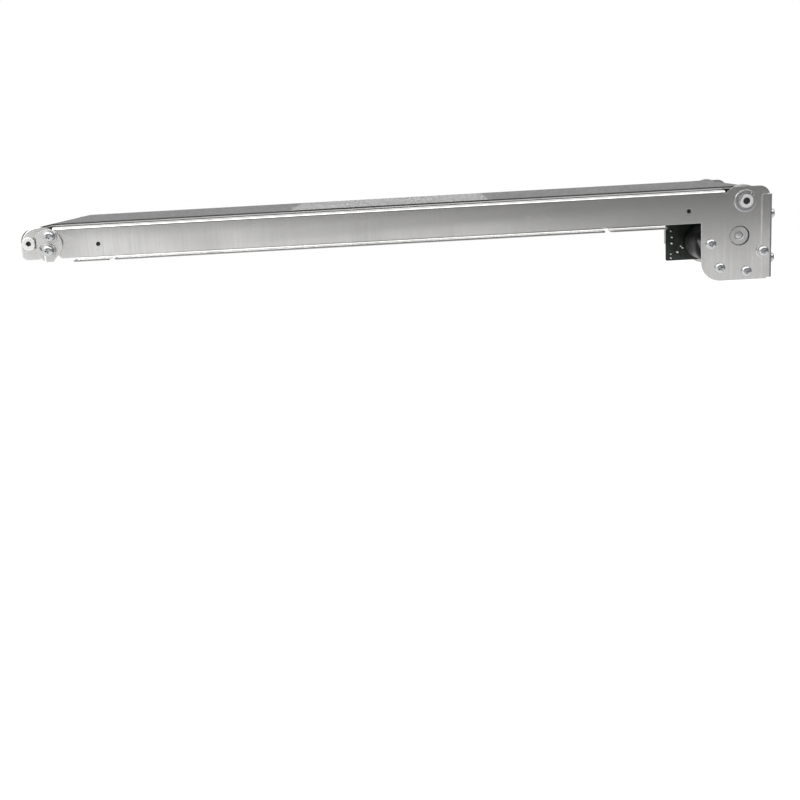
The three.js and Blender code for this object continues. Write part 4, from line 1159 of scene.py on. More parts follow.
@dataclass
class Screws:
    """Pan head screws with a cross recess, and the washers under some of them.

    The twists are in degrees, but end_twist is in radians.
    """

    head_radius: float = radius_of("gearbox_screw_1")
    head_height: float = 2.6
    head_flat: float = 1.638
    rim: float = 0.9
    edge: float = 0.15
    shank: float = 5.0
    shank_radius: float = 1.95
    shank_bevel: float = 0.3
    recess_span: float = 4.7
    recess_width: float = 1.15
    recess_depth: float = 1.9
    recess_taper: Point = (0.55, 0.8)
    washer_radius: float = radius_of("pivot_washer_near")
    washer_bore: float = 2.2
    washer_thickness: float = 1.0
    spring_radius: float = 3.6
    spring_rise: float = 0.25
    spring_share: float = 0.94
    disc_thickness: float = 1.6
    gearbox_twists: Sequence[float] = (12.0, 38.0, 4.0, 20.0)
    cover_twist: float = 55.0
    end_twist: float = 0.3
    stack_twists: Sequence[tuple[str, float]] = (("pivot", 28.0), ("lock", 8.0))

    def _wing(self) -> bmesh.types.BMesh:
        """One bar of the cross recess, narrower at its bottom.

        Returns:
            The mesh.
        """
        top = self.head_height + 1.0
        floor = self.head_height - self.recess_depth
        mesh = block(
            (-self.recess_span / 2, floor, -self.recess_width / 2),
            (self.recess_span / 2, top, self.recess_width / 2),
        )
        along, across = self.recess_taper
        deep = [v for v in mesh.verts if v.co.y < (floor + top) / 2 * MM]
        bmesh.ops.scale(mesh, vec=(along, 1.0, across), verts=deep)
        return mesh

    def head(self, shank: float) -> bmesh.types.BMesh:
        """A screw whose head's underside is at the origin, pointing along +Y.

        Args:
            shank: The shank's length.

        Returns:
            The mesh.
        """
        dome, slope = self.head_height - self.rim, self.head_radius - self.head_flat
        crown = [
            (self.head_flat + slope * math.cos(t), self.rim + dome * math.sin(t)) for t in quarter(8)
        ]
        profile = [
            (0.0, -shank),
            (self.shank_radius - self.shank_bevel, -shank),
            (self.shank_radius, -shank + self.shank_bevel),
            (self.shank_radius, 0.0),
            (self.head_radius - self.edge, 0.0),
            (self.head_radius, self.edge),
            *crown,
            (0.0, self.head_height),
        ]
        wing = self._wing()
        crossed = moved(wing.copy(), Matrix.Rotation(math.pi / 2, 4, "Y"))
        return carved(spun(profile, (0.0, 0.0), 40), wing, crossed)

    def _washer(self) -> bmesh.types.BMesh:
        """A flat washer with bevelled edges, its lower face at the origin.

        Returns:
            The mesh.
        """
        bore, rim, high, edge = self.washer_bore, self.washer_radius, self.washer_thickness, self.edge
        lower = [(bore, edge), (bore + edge, 0.0), (rim - edge, 0.0), (rim, edge)]
        upper = [(r, high - y) for r, y in reversed(lower)]
        return spun([*lower, *upper], (0.0, 0.0), 56, True)

    def _spring(self) -> bmesh.types.BMesh:
        """A split spring washer, its lower face at the origin.

        Returns:
            The mesh.
        """
        mesh = bmesh.new()
        high = self.washer_thickness - self.spring_rise
        corners = [
            (self.washer_bore, 0.0),
            (self.spring_radius, 0.0),
            (self.spring_radius, high),
            (self.washer_bore, high),
        ]
        edges = chain(mesh, [spot(r, y, 0.0) for r, y in corners], True)
        ends = bmesh.ops.contextual_create(mesh, geom=edges)["faces"]
        bmesh.ops.spin(
            mesh,
            geom=ends,
            cent=(0, 0, 0),
            axis=(0, 1, 0),
            dvec=(0, self.spring_rise * MM / 48, 0),
            angle=FULL_TURN * self.spring_share,
            steps=48,
            use_merge=False,
            use_normal_flip=False,
            use_duplicate=False,
        )
        return soften(tidy(mesh), 0.08, 1)

    @staticmethod
    def _side_place(place: Point, side: Side, face: float) -> Matrix:
        """Where a fastener on a side goes: its own +Y points outwards."""
        turn = Matrix.Rotation(math.pi, 4, "X") if side is Side.NEAR else Matrix.Identity(4)
        return Matrix.Translation(spot(place[0], side.value * face, place[1])) @ turn

    def build(self, finishes: Finishes) -> None:
        """Adds all the fasteners.

        Args:
            finishes: The materials.
        """
        short = self.head(self.shank)
        jobs = [(f"gearbox_screw_{i + 1}", twist) for i, twist in enumerate(self.gearbox_twists)]
        jobs.append(("cover_screw_far", self.cover_twist))
        for node, twist in jobs:
            low, high = span_of(node)
            side = Side.NEAR if high < 0 else Side.FAR
            face = max(-low, high) - self.head_height
            turned = Matrix.Rotation(math.radians(twist), 4, "Y")
            mesh = moved(short.copy(), self._side_place(axis_of(node), side, face) @ turned)
            show(f"{node}_head", mesh, Body.FRAME, Slot.ZINC, finishes.zinc, [node])
        self._end_screws(short, finishes)
        self._tension_stacks(finishes)
        short.free()

    def _end_screws(self, short: bmesh.types.BMesh, finishes: Finishes) -> None:
        """Adds the four screws in the end cover's face.

        Args:
            short: The short screw, which stays.
            finishes: The materials.
        """
        for side in Side:
            for number in (1, 2):
                node = f"end_screw_{side.label}_{number}"
                low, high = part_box(node)
                middle = (low + high) / 2
                place = Vector((high.x - self.head_height * MM, middle.y, middle.z))
                twist = Matrix.Rotation(self.end_twist + number, 4, "Y")
                turned = Matrix.Rotation(-math.pi / 2, 4, "Z") @ twist
                mesh = moved(short.copy(), Matrix.Translation(place) @ turned)
                show(f"{node}_head", mesh, Body.FRAME, Slot.ZINC, finishes.zinc, [node])

    def _tension_stacks(self, finishes: Finishes) -> None:
        """Adds the screw, washer and spring washer of each clamped point of the tension discs.

        Args:
            finishes: The materials.
        """
        low = PLATE_FACE + self.disc_thickness + GAP
        spring = low + self.washer_thickness + GAP
        face = spring + self.washer_thickness + GAP
        long = self.head(face - OUTER_Y + 2 * SHEET)
        flat, split = self._washer(), self._spring()
        for side in Side:
            for use, twist in self.stack_twists:
                turned = Matrix.Rotation(math.radians(twist), 4, "Y")
                place = axis_of(f"{use}_screw_{side.label}")
                stack = [
                    (f"{use}_screw", long, face, "head", finishes.zinc),
                    (f"{use}_washer", flat, low, "ring", finishes.disc),
                    (f"{use}_spring_washer", split, spring, "coil", finishes.disc),
                ]
                for stem, shape, at, word, finish in stack:
                    node = f"{stem}_{side.label}"
                    mesh = moved(shape.copy(), self._side_place(place, side, at) @ turned)
                    show(f"{node}_{word}", mesh, Body.FRAME, Slot.ZINC, finish, [node])
        for shape in (long, flat, split):
            shape.free()


@dataclass
class Belt:
    """The endless belt over both rollers and the nose of the bed."""

    thickness: float = 2.0
    idler_radius: float = 8.35
    drive_radius: float = 8.9
    nose: Point = (-257.8, 23.8)
    nose_radius: float = 2.45
    arc_steps: int = 32
    span_steps: int = 60
    width_steps: int = 8
    edge_round: float = 0.35

    def _wheels(self) -> list[tuple[Point, float]]:
        """Middle and radius of what the belt wraps, anticlockwise from the idler, as the near side shows."""
        return [(IDLER, self.idler_radius), (DRIVE, self.drive_radius), (self.nose, self.nose_radius)]

    def outline(self, extra: float) -> list[Point]:
        """The closed line of the belt at a height above its inner face.

        Args:
            extra: That height.

        Returns:
            Points in X and Z.
        """
        wheels = self._wheels()
        turns = []
        for (centre, radius), (after, next_radius) in zip(wheels, wheels[1:] + wheels[:1]):
            gap = Vector(after) - Vector(centre)
            turns.append(math.atan2(gap.y, gap.x) - math.acos((radius - next_radius) / gap.length))
        points: list[Point] = []
        for i, (centre, radius) in enumerate(wheels):
            start, end = turns[i - 1], turns[i]
            while end < start:
                end += FULL_TURN
            steps = self.arc_steps if radius > self.nose_radius else 6
            reach = radius + extra
            arc = [start + (end - start) * k / steps for k in range(steps + 1)]
            points += [polar(centre, reach, t) for t in arc]
        return points

    @staticmethod
    def _slice(mesh: bmesh.types.BMesh, start: Vector, end: Vector, steps: int) -> None:
        """Cuts the faces at even distances along a line.

        Args:
            mesh: The belt.
            start: Where the line starts.
            end: Where it ends.
            steps: Parts that it is divided into.
        """
        for step in range(1, steps):
            everything = [*mesh.verts, *mesh.edges, *mesh.faces]
            place = start.lerp(end, step / steps)
            along = (end - start).normalized()
            bmesh.ops.bisect_plane(mesh, geom=everything, plane_co=place, plane_no=along)

    def _chart(self, mesh: bmesh.types.BMesh) -> None:
        """Writes the surface map: metres along the belt's run from mid-length, and metres across.

        Args:
            mesh: The belt.
        """
        chart = mesh.loops.layers.uv.new("run")
        reach = (self.drive_radius + self.thickness) * MM
        for face in mesh.faces:
            middle = face.calc_center_median()
            for loop in face.loops:
                loop[chart].uv = (self._run(loop.vert.co, middle, reach), loop.vert.co.y)

    def _mark_plies(self, mesh: bmesh.types.BMesh) -> None:
        """Writes each vertex's height above the belt's inner face, as a share of the thickness.

        Args:
            mesh: The belt.
        """
        layer = mesh.verts.layers.float.new(PLY)
        inner = [Vector(point) for point in self.outline(0.0)]
        spans = list(zip(inner, inner[1:] + inner[:1]))
        for vert in mesh.verts:
            place = Vector((vert.co.x, vert.co.z)) / MM
            gaps = []
            for start, end in spans:
                along = end - start
                share = max(0.0, min(1.0, (place - start).dot(along) / max(along.length_squared, WELD)))
                gaps.append((place - start - along * share).length)
            vert[layer] = min(gaps) / self.thickness

    @staticmethod
    def _run(co: Vector, middle: Vector, reach: float) -> float:
        """How far along the belt's run a point lies.

        Args:
            co: The point.
            middle: The middle of the face that the point belongs to.
            reach: The outer radius over a roller.

        Returns:
            Metres from mid-length, over the drive roller and back below.
        """
        for (cx, cz), sign in ((DRIVE, 1.0), (IDLER, -1.0)):
            if sign * (middle.x - cx * MM) > 0:
                turn = math.atan2(sign * (co.x - cx * MM), co.z - cz * MM)
                return cx * MM + sign * reach * turn
        if middle.z > IDLER[1] * MM:
            return co.x
        return DRIVE[0] * MM + math.pi * reach + DRIVE[0] * MM - co.x

    def build(self, finishes: Finishes) -> None:
        """Adds the belt.

        Args:
            finishes: The materials.
        """
        mesh = plate(self.outline(self.thickness), BELT_NEAR, BELT_FAR, [self.outline(0.0)])
        self._slice(mesh, spot(IDLER[0], 0, 0), spot(DRIVE[0], 0, 0), self.span_steps)
        soften(mesh, self.edge_round, 2, 60.0)
        self._slice(mesh, spot(0, BELT_NEAR, 0), spot(0, BELT_FAR, 0), self.width_steps)
        self._chart(mesh)
        self._mark_plies(mesh)
        show("woven_belt_loop", mesh, Body.FRAME, Slot.BELT, finishes.belt, ["conveyor_belt"], 50.0)


@dataclass
class Tensioners:
    """The two tension discs."""

    edge_round: float = 0.22

    def build(self, finishes: Finishes) -> None:
        """Adds both discs.

        Args:
            finishes: The materials.
        """
        for side, body in ((Side.NEAR, Body.NEAR_DISC), (Side.FAR, Body.FAR_DISC)):
            node = f"tension_disc_{side.label}"
            mesh = soften(cad_copy(node), self.edge_round, 2, 30.0)
            show(f"{node}_plate", mesh, body, Slot.STAINLESS, finishes.disc, [node])


@dataclass
class Idler:
    """The idler axle with its tapped heads, and the roller that turns on it."""

    shaft_radius: float = 3.4
    running_gap: float = 0.15
    head_radius: float = radius_of("idler_axle")
    head_bevel: float = 0.3
    head_round: float = 0.45
    end: float = span_of("idler_axle")[1]
    hole_radius: float = 1.95
    hole_bevel: float = 0.2
    hole_depth: float = 9.0
    thread_pitch: float = 0.7
    cup_depth: float = 3.0
    roller_radius: float = radius_of("idler_roller")
    roller_bevel: float = 0.3
    roller_span: Point = span_of("idler_roller")
    wall: float = 2.0
    cap_flange: float = 1.0
    cap_bevel: float = 0.2
    cap_round: float = 0.3
    cap_cone: float = 1.8
    cap_shoulder_share: float = 0.7
    cap_shoulder: float = 5.6
    cap_neck: float = 5.0
    cap_plug: float = 8.0

    def _half(self) -> list[Point]:
        """Half of the axle's profile, from the shaft to the bottom of the tapped hole.

        Returns:
            Points of radius and place along Y.
        """
        end, hole = self.end, self.hole_radius
        return [
            (self.shaft_radius, PLATE_FACE),
            (self.head_radius - self.head_bevel, PLATE_FACE),
            (self.head_radius, PLATE_FACE + self.head_bevel),
            *fillet(self.head_radius, self.head_round, end, 1),
            (hole + self.hole_bevel, end),
            (hole, end - self.hole_bevel),
            (hole, end - self.hole_depth),
            (0.0, end - self.hole_depth),
        ]

    def _cap(self, side: Side) -> bmesh.types.BMesh:
        """The end cap of the roller on one side.

        Args:
            side: The side.

        Returns:
            The mesh.
        """
        face = -self.roller_span[0] if side is Side.NEAR else self.roller_span[1]
        bore, outer = self.shaft_radius + self.running_gap, self.roller_radius
        seat, plug = face + GAP, outer - self.wall - GAP
        flange = seat + self.cap_flange
        profile = [
            (bore, face - self.cap_plug),
            (plug, face - self.cap_plug),
            (plug, seat),
            (outer - self.cap_bevel, seat),
            (outer, seat + self.cap_bevel),
            *fillet(outer, self.cap_round, flange, 1),
            (self.cap_shoulder, flange + self.cap_cone * self.cap_shoulder_share),
            (self.cap_neck, flange + self.cap_cone),
            (bore, flange + self.cap_cone),
        ]
        return spun(facing(profile, side), IDLER, 64, True)

    def build(self, finishes: Finishes) -> None:
        """Adds the axle, the roller tube and its caps.

        Args:
            finishes: The materials.
        """
        half = self._half()
        mirrored = [(r, -y) for r, y in reversed(half)]
        axle = spun([*mirrored, *half], IDLER)
        show("idler_axle_turned", axle, Body.AXLE, Slot.BRIGHT, finishes.turned, ["idler_axle"])
        mouth = self.end - self.hole_bevel
        taps = tapped_holes(IDLER, self.hole_radius, mouth, self.cup_depth, self.thread_pitch)
        # The threaded cups take the dark colour that paints the shade inside the holes.
        show("idler_axle_threads", taps, Body.AXLE, Slot.BRIGHT, finishes.bore)
        outer = self.roller_radius
        tube = tube_profile(outer - self.wall, outer, self.roller_span, self.roller_bevel)
        roller = spun(tube, IDLER, 96, True)
        show("idler_roller_tube", roller, Body.ROLLER, Slot.BRIGHT, finishes.turned, ["idler_roller"])
        for side in Side:
            node = f"idler_cap_{side.label}"
            show(f"{node}_turned", self._cap(side), Body.ROLLER, Slot.ZINC, finishes.zinc, [node])


def involute(turn: float) -> float:
    """The involute of an angle."""
    return math.tan(turn) - turn


@dataclass(frozen=True)
class GearSize:
    """Sizes that both gears of the pair share."""

    module: float = 1.25
    pressure: float = math.radians(20.0)
    root_depth: float = 1.5
    backlash: float = 0.3
    flank_steps: int = 5

    def outline(self, centre: Point, teeth: int, phase: float) -> list[Point]:
        """The rim of a gear, tooth by tooth.

        Args:
            centre: X and Z of its axis.
            teeth: How many teeth.
            phase: Direction of the first tooth.

        Returns:
            Points in X and Z.
        """
        pitch = teeth * self.module / 2
        base = pitch * math.cos(self.pressure)
        tip, root = pitch + self.module, pitch - self.root_depth
        half = math.pi / (2 * teeth) - self.backlash / (2 * pitch) + involute(self.pressure)
        low = max(base, root)
        radii = [low + (tip - low) * i / self.flank_steps for i in range(self.flank_steps + 1)]
        flank = [(root, half - involute(math.acos(min(1.0, base / low))))]
        flank += [(r, half - involute(math.acos(min(1.0, base / r)))) for r in radii]
        tooth = [(r, -turn) for r, turn in flank] + [(r, turn) for r, turn in reversed(flank)]
        points = []
        for index in range(teeth):
            middle = phase + FULL_TURN * index / teeth
            points += [polar(centre, r, middle + turn) for r, turn in tooth]
        return points


@dataclass
class DriveRoller:
    """The drive shaft with its roller, gear, guide rim, retaining clips and the bushes it runs in."""

    gear: GearSize = field(default_factory=GearSize)
    teeth: int = 17
    facets: int = 72
    shaft_radius: float = radius_of("drive_shaft")
    running_gap: float = 0.15
    roller_radius: float = radius_of("drive_roller")
    roller_bevel: float = 0.3
    rim_radius: float = radius_of("belt_guide_rim")
    rim_width: float = 1.4
    rim_round: float = 0.3
    rim_lap: float = 0.1
    end: float = span_of("drive_shaft")[1]
    end_round: float = 0.35
    hole_radius: float = 2.6
    hole_bevel: float = 0.25
    hole_depth: float = 8.0
    thread_pitch: float = 0.8
    cup_depth: float = 3.4
    flat_from_axis: float = 3.9
    flat_turn: float = math.radians(153.0)
    flat_length: float = 4.0
    groove: Point = (65.4, 66.8)
    groove_slope: float = 0.05
    groove_depth: float = 0.9
    bush_radius: float = 6.4
    bush_bevel: float = 0.2
    flange_radius: float = radius_of("shaft_bush_near")
    flange_bevel: float = 0.1
    flange_round: float = 0.45
    dish_radii: Point = (5.5, 6.65)
    dish_depth: float = 0.35
    dish_slopes: Point = (0.2, 0.25)
    clip_radius: float = 6.2
    clip_thinning: float = 0.7
    clip_thinning_spread: float = 1.2
    clip_ear_reach: float = 8.2
    clip_ear_turns: Point = (math.radians(45.0), math.radians(106.0))
    clip_ear_half: float = math.radians(14.0)
    clip_gap: float = 0.1
    clip_steps: int = 56
    clip_hole: float = 0.85
    clip_hole_inset: float = 0.2

    @property
    def bore(self) -> float:
        """The bore of what sits on the shaft."""
        return self.shaft_radius + self.running_gap

    def _half(self) -> list[Point]:
        """Half of the shaft's profile, from the groove to the bottom of the tapped hole.

        Returns:
            Points of radius and place along Y.
        """
        low, high = self.groove
        end, hole, outer = self.end, self.hole_radius, self.shaft_radius
        neck = outer - self.groove_depth
        return [
            (outer, low),
            (neck, low + self.groove_slope),
            (neck, high - self.groove_slope),
            (outer, high),
            *fillet(outer, self.end_round, end, 1),
            (hole + self.hole_bevel, end),
            (hole, end - self.hole_bevel),
            (hole, end - self.hole_depth),
            (0.0, end - self.hole_depth),
        ]

    def _flat_cutter(self, side: Side) -> bmesh.types.BMesh:
        """What the flat at a shaft end takes away.

        Args:
            side: The shaft end.

        Returns:
            The mesh.
        """
        low, high = sorted(side.value * y for y in (self.end - self.flat_length, self.end + 1.0))
        reach = 2 * self.shaft_radius
        mesh = block((self.flat_from_axis, low, -reach), (self.flat_from_axis + reach, high, reach))
        turned = Matrix.Rotation(-self.flat_turn, 4, "Y")
        return moved(mesh, Matrix.Translation(spot(DRIVE[0], 0, DRIVE[1])) @ turned)

    def _shaft(self) -> bmesh.types.BMesh:
        """The shaft, with a tapped hole and a flat at each end.

        Returns:
            The mesh.
        """
        half = self._half()
        mirrored = [(r, -y) for r, y in reversed(half)]
        whole = spun([*mirrored, *half], DRIVE, self.facets)
        return carved(whole, *[self._flat_cutter(side) for side in Side])

    def _rim(self, low: float, high: float) -> bmesh.types.BMesh:
        """A flat rim about the shaft, with rounded edges.

        Args:
            low: Where it starts along Y.
            high: Where it ends.

        Returns:
            The mesh.
        """
        outer = fillet(self.rim_radius, self.rim_round, high, 1)
        inner = [(r, low + high - y) for r, y in reversed(outer)]
        return spun([(self.bore, low), *inner, *outer, (self.bore, high)], DRIVE, self.facets, True)

    def _gear(self) -> bmesh.types.BMesh:
        """The small gear between its two rims.

        Returns:
            The mesh.
        """
        outer, inner = span_of("roller_gear")
        low, high = outer + self.rim_width, inner - self.rim_width
        rims = [self._rim(high, inner), self._rim(outer, low)]
        turn = math.atan2(OUTPUT[1] - DRIVE[1], OUTPUT[0] - DRIVE[0])
        rim = self.gear.outline(DRIVE, self.teeth, turn)
        bore = ring_points(DRIVE, self.bore, 48)
        return merged(plate(rim, low - self.rim_lap, high + self.rim_lap, [bore]), *rims)

    def _clip_outline(self) -> list[Point]:
        """The rim of a retaining clip: a band that thickens to two ears, and back round the groove.

        Returns:
            Points in X and Z.
        """
        first, second = self.clip_ear_turns
        half, inner = self.clip_ear_half, self.shaft_radius - self.groove_depth + self.clip_gap
        start, end = second + half, FULL_TURN + first - half
        middle, spread = (start + end) / 2, self.clip_thinning_spread
        band = []
        for turn in (start + (end - start) * i / self.clip_steps for i in range(self.clip_steps + 1)):
            thinned = self.clip_thinning * math.exp(-(((turn - middle) / spread) ** 2))
            band.append((self.clip_radius - thinned, turn))
        ears = [
            [(self.clip_ear_reach, middle_turn + half * (2 * i / 8 - 1)) for i in range(9)]
            for middle_turn in (second, FULL_TURN + first)
        ]
        last, sweep = FULL_TURN + first + half, second - half
        back = [(inner, last + (sweep - last) * i / 72) for i in range(73)]
        return [polar(DRIVE, r, t) for r, t in (*ears[0], *band, *ears[1], *back)]

    def _clip(self, side: Side) -> bmesh.types.BMesh:
        """The retaining clip in the shaft's groove, with a hole in each ear.

        Args:
            side: The shaft end.

        Returns:
            The mesh.
        """
        reach = (self.clip_radius + self.clip_ear_reach) / 2 - self.clip_hole_inset
        holes = [ring_points(polar(DRIVE, reach, t), self.clip_hole, 20) for t in self.clip_ear_turns]
        low, high = span_of(f"retaining_clip_{side.label}")
        return soften(plate(self._clip_outline(), low, high, holes), 0.08, 1, 50.0)

    def _bush(self, side: Side) -> bmesh.types.BMesh:
        """The flanged bush of one side plate, dished in its face.

        Args:
            side: The side.

        Returns:
            The mesh.
        """
        inner, high = sorted(abs(y) for y in span_of(f"shaft_bush_{side.label}"))
        floor = high - self.dish_depth
        profile = [
            (self.bore, inner),
            (self.bush_radius - self.bush_bevel, inner),
            (self.bush_radius, inner + self.bush_bevel),
            (self.bush_radius, PLATE_FACE),
            (self.flange_radius - self.flange_bevel, PLATE_FACE),
            (self.flange_radius, PLATE_FACE + self.flange_bevel),
            *fillet(self.flange_radius, self.flange_round, high, 1),
            (self.dish_radii[1], high),
            (self.dish_radii[1] - self.dish_slopes[0], floor),
            (self.dish_radii[0], floor),
            (self.bore, floor - self.dish_slopes[1]),
        ]
        return spun(facing(profile, side), DRIVE, self.facets, True)

    def build(self, finishes: Finishes) -> None:
        """Adds the turning set and its bushes.

        Args:
            finishes: The materials.
        """
        show("drive_shaft_turned", self._shaft(), Body.DRIVE, Slot.BRIGHT, finishes.faced, ["drive_shaft"])
        mouth = self.end - self.hole_bevel
        taps = tapped_holes(DRIVE, self.hole_radius, mouth, self.cup_depth, self.thread_pitch)
        # The threaded cups take the dark colour that paints the shade inside the holes.
        show("drive_shaft_threads", taps, Body.DRIVE, Slot.BRIGHT, finishes.bore)
        tube = tube_profile(self.bore, self.roller_radius, span_of("drive_roller"), self.roller_bevel)
        roller = spun(tube, DRIVE, self.facets, True)
        show("drive_roller_tube", roller, Body.DRIVE, Slot.ZINC, finishes.zinc, ["drive_roller"])
        show("roller_gear_moulded", self._gear(), Body.DRIVE, Slot.WHITE, finishes.white, ["roller_gear"])
        rim = self._rim(*span_of("belt_guide_rim"))
        show("belt_guide_rim_moulded", rim, Body.DRIVE, Slot.WHITE, finishes.white, ["belt_guide_rim"])
        for side in Side:
            clip, bush = f"retaining_clip_{side.label}", f"shaft_bush_{side.label}"
            show(f"{clip}_ring", self._clip(side), Body.DRIVE, Slot.ZINC, finishes.spring, [clip])
            show(f"{bush}_flanged", self._bush(side), Body.FRAME, Slot.ZINC, finishes.zinc, [bush])


@dataclass
class Gearbox:
    """The gearbox castings, the output shaft with its boss and the output gear."""

    gear: GearSize = field(default_factory=GearSize)
    teeth: int = 25
    shaft_radius: float = radius_of("output_shaft")
    shaft_span: Point = span_of("output_shaft")
    tip_rise: float = 0.7
    running_gap: float = 0.15
    web_radius: float = 12.0
    web_depth: float = 1.2
    web_bevel: float = 0.3
    hub_radius: float = 5.5
    boss_radius: float = radius_of("output_boss")
    boss_round: float = 0.5
    boss_span: Point = span_of("output_boss")
    boss_dish: float = 3.8
    boss_dish_depth: float = 0.8
    edge_round: float = 0.35

    def _gear(self) -> bmesh.types.BMesh:
        """The output gear with a thinned web on its outer face.

        Returns:
            The mesh.
        """
        low, high = span_of("output_gear")
        turn = math.atan2(OUTPUT[1] - DRIVE[1], OUTPUT[0] - DRIVE[0]) + math.pi * (1 + 1 / self.teeth)
        bore = ring_points(OUTPUT, self.shaft_radius + self.running_gap, 40)
        teeth = plate(self.gear.outline(OUTPUT, self.teeth, turn), low, high, [bore])
        floor, bevel = low + self.web_depth, self.web_bevel
        profile = [
            (self.hub_radius, low - 1.0),
            (self.web_radius, low - 1.0),
            (self.web_radius, floor - bevel),
            (self.web_radius - bevel, floor),
            (self.hub_radius + bevel, floor),
            (self.hub_radius, floor - bevel),
        ]
        return carved(teeth, spun(profile, OUTPUT, 64, True))

    def _boss(self) -> bmesh.types.BMesh:
        """The round boss that shows in the near plate, dished in its face.

        Returns:
            The mesh.
        """
        face, foot = self.boss_span
        bore = self.shaft_radius + self.running_gap
        slope = self.boss_dish - bore
        dish = [
            (bore + slope * (1 - i / 8), face + self.boss_dish_depth * math.sin(t))
            for i, t in enumerate(quarter(8))
        ]
        outer = fillet(self.boss_radius, self.boss_round, face, -1)
        return spun([(bore, foot), (self.boss_radius, foot), *outer, *dish], OUTPUT, 64, True)

    def _shaft(self) -> bmesh.types.BMesh:
        """The output shaft with a rounded tip.

        Returns:
            The mesh.
        """
        end, foot = self.shaft_span
        tip = [
            (self.shaft_radius * math.sin(t), end + self.tip_rise * (1 - math.cos(t))) for t in quarter(6)
        ]
        return spun([*tip, (self.shaft_radius, foot), (0.0, foot)], OUTPUT, 48)

    def build(self, finishes: Finishes) -> None:
        """Adds the gearbox's pieces.

        Args:
            finishes: The materials.
        """
        for node in ("gearbox_plate", "gearbox_housing"):
            mesh = soften(cad_copy(node), self.edge_round, 3, 40.0)
            show(f"{node}_cast", mesh, Body.FRAME, Slot.CAST, finishes.cast, [node])
        show("output_gear_moulded", self._gear(), Body.OUTPUT, Slot.WHITE, finishes.white, ["output_gear"])
        show("output_shaft_turned", self._shaft(), Body.OUTPUT, Slot.BRIGHT, finishes.boss, ["output_shaft"])
        show("output_boss_cast", self._boss(), Body.FRAME, Slot.CAST, finishes.boss, ["output_boss"])


@dataclass
class Motor:
    """The motor can, its rear cap and its terminals."""

    radius: float = radius_of("motor_can")
    span: Point = span_of("motor_can")
    edge: float = 1.5
    seam: float = -3.2
    seam_half: float = 0.7
    seam_depth: float = 0.35
    crimp_depth: float = 0.6
    crimp_half: float = 1.6
    crimp_from_back: Point = (2.6, 1.2)
    cap_radius: float = radius_of("motor_end_cap")
    cap_span: Point = span_of("motor_end_cap")
    cap_step: float = 0.6
    cap_round: float = 0.4
    seat_foot: float = 5.2
    seat_radius: float = 4.6
    seat_hole: float = 1.6
    seat_taper: float = 0.2
    seat_depth: float = 0.8
    terminal_from_axis: float = 8.0
    terminal_tip: float = 11.2
    terminal_half: Point = (0.2, 1.1)

    def _can(self) -> bmesh.types.BMesh:
        """The drawn can with rounded ends and a rolled seam.

        Returns:
            The mesh.
        """
        front, back = self.span
        groove = self.radius - self.seam_depth
        profile = [
            (0.0, front),
            *reversed(fillet(self.radius, self.edge, front, -1)),
            (self.radius, self.seam - self.seam_half),
            (groove, self.seam - self.seam_half / 2),
            (groove, self.seam + self.seam_half / 2),
            (self.radius, self.seam + self.seam_half),
            *fillet(self.radius, self.edge, back, 1),
            (0.0, back),
        ]
        return spun(profile, MOTOR, 96)

    def _crimps(self) -> list[bmesh.types.BMesh]:
        """Notches that pin the rear cap in the can.

        Returns:
            One cutter per notch.
        """
        low, high = (self.span[1] - y for y in self.crimp_from_back)
        cutters = []
        for turn in range(4):
            mesh = block(
                (self.radius - self.crimp_depth, low, -self.crimp_half),
                (self.radius + 1.0, high, self.crimp_half),
            )
            turned = Matrix.Rotation(-math.pi / 4 - math.pi / 2 * turn, 4, "Y")
            cutters.append(moved(mesh, Matrix.Translation(spot(MOTOR[0], 0, MOTOR[1])) @ turned))
        return cutters

    def _cap(self) -> bmesh.types.BMesh:
        """The moulded cap with a raised bearing seat.

        Returns:
            The mesh.
        """
        face, back = self.cap_span
        ledge, floor = back - self.cap_step, back - self.seat_depth
        profile = [
            (0.0, face),
            (self.cap_radius, face),
            *fillet(self.cap_radius, self.cap_round, ledge, 1),
            (self.seat_foot, ledge),
            (self.seat_radius, back),
            (self.seat_hole, back),
            (self.seat_hole - self.seat_taper, floor),
            (0.0, floor),
        ]
        return spun(profile, MOTOR, 72)

    def _terminals(self) -> bmesh.types.BMesh:
        """The two blades that reach through the board.

        Returns:
            Both blades as one mesh.
        """
        half, deep = self.terminal_half
        foot, blades = self.cap_span[1] - self.seat_depth, []
        for x in (MOTOR[0] - self.terminal_from_axis, MOTOR[0] + self.terminal_from_axis):
            low, high = (x - half, foot, MOTOR[1] - deep), (x + half, self.terminal_tip, MOTOR[1] + deep)
            blades.append(block(low, high))
        return soften(merged(*blades), 0.08, 1)

    def build(self, finishes: Finishes) -> None:
        """Adds the motor.

        Args:
            finishes: The materials.
        """
        can = carved(self._can(), *self._crimps())
        # The can's near-black finish paints the shade between the plates.
        show("motor_can_drawn", can, Body.FRAME, Slot.ZINC, finishes.motor, ["motor_can"])
        show("motor_end_cap_moulded", self._cap(), Body.FRAME, Slot.BLACK, finishes.black, ["motor_end_cap"])
        show("motor_terminals", self._terminals(), Body.FRAME, Slot.BRIGHT, finishes.pins)


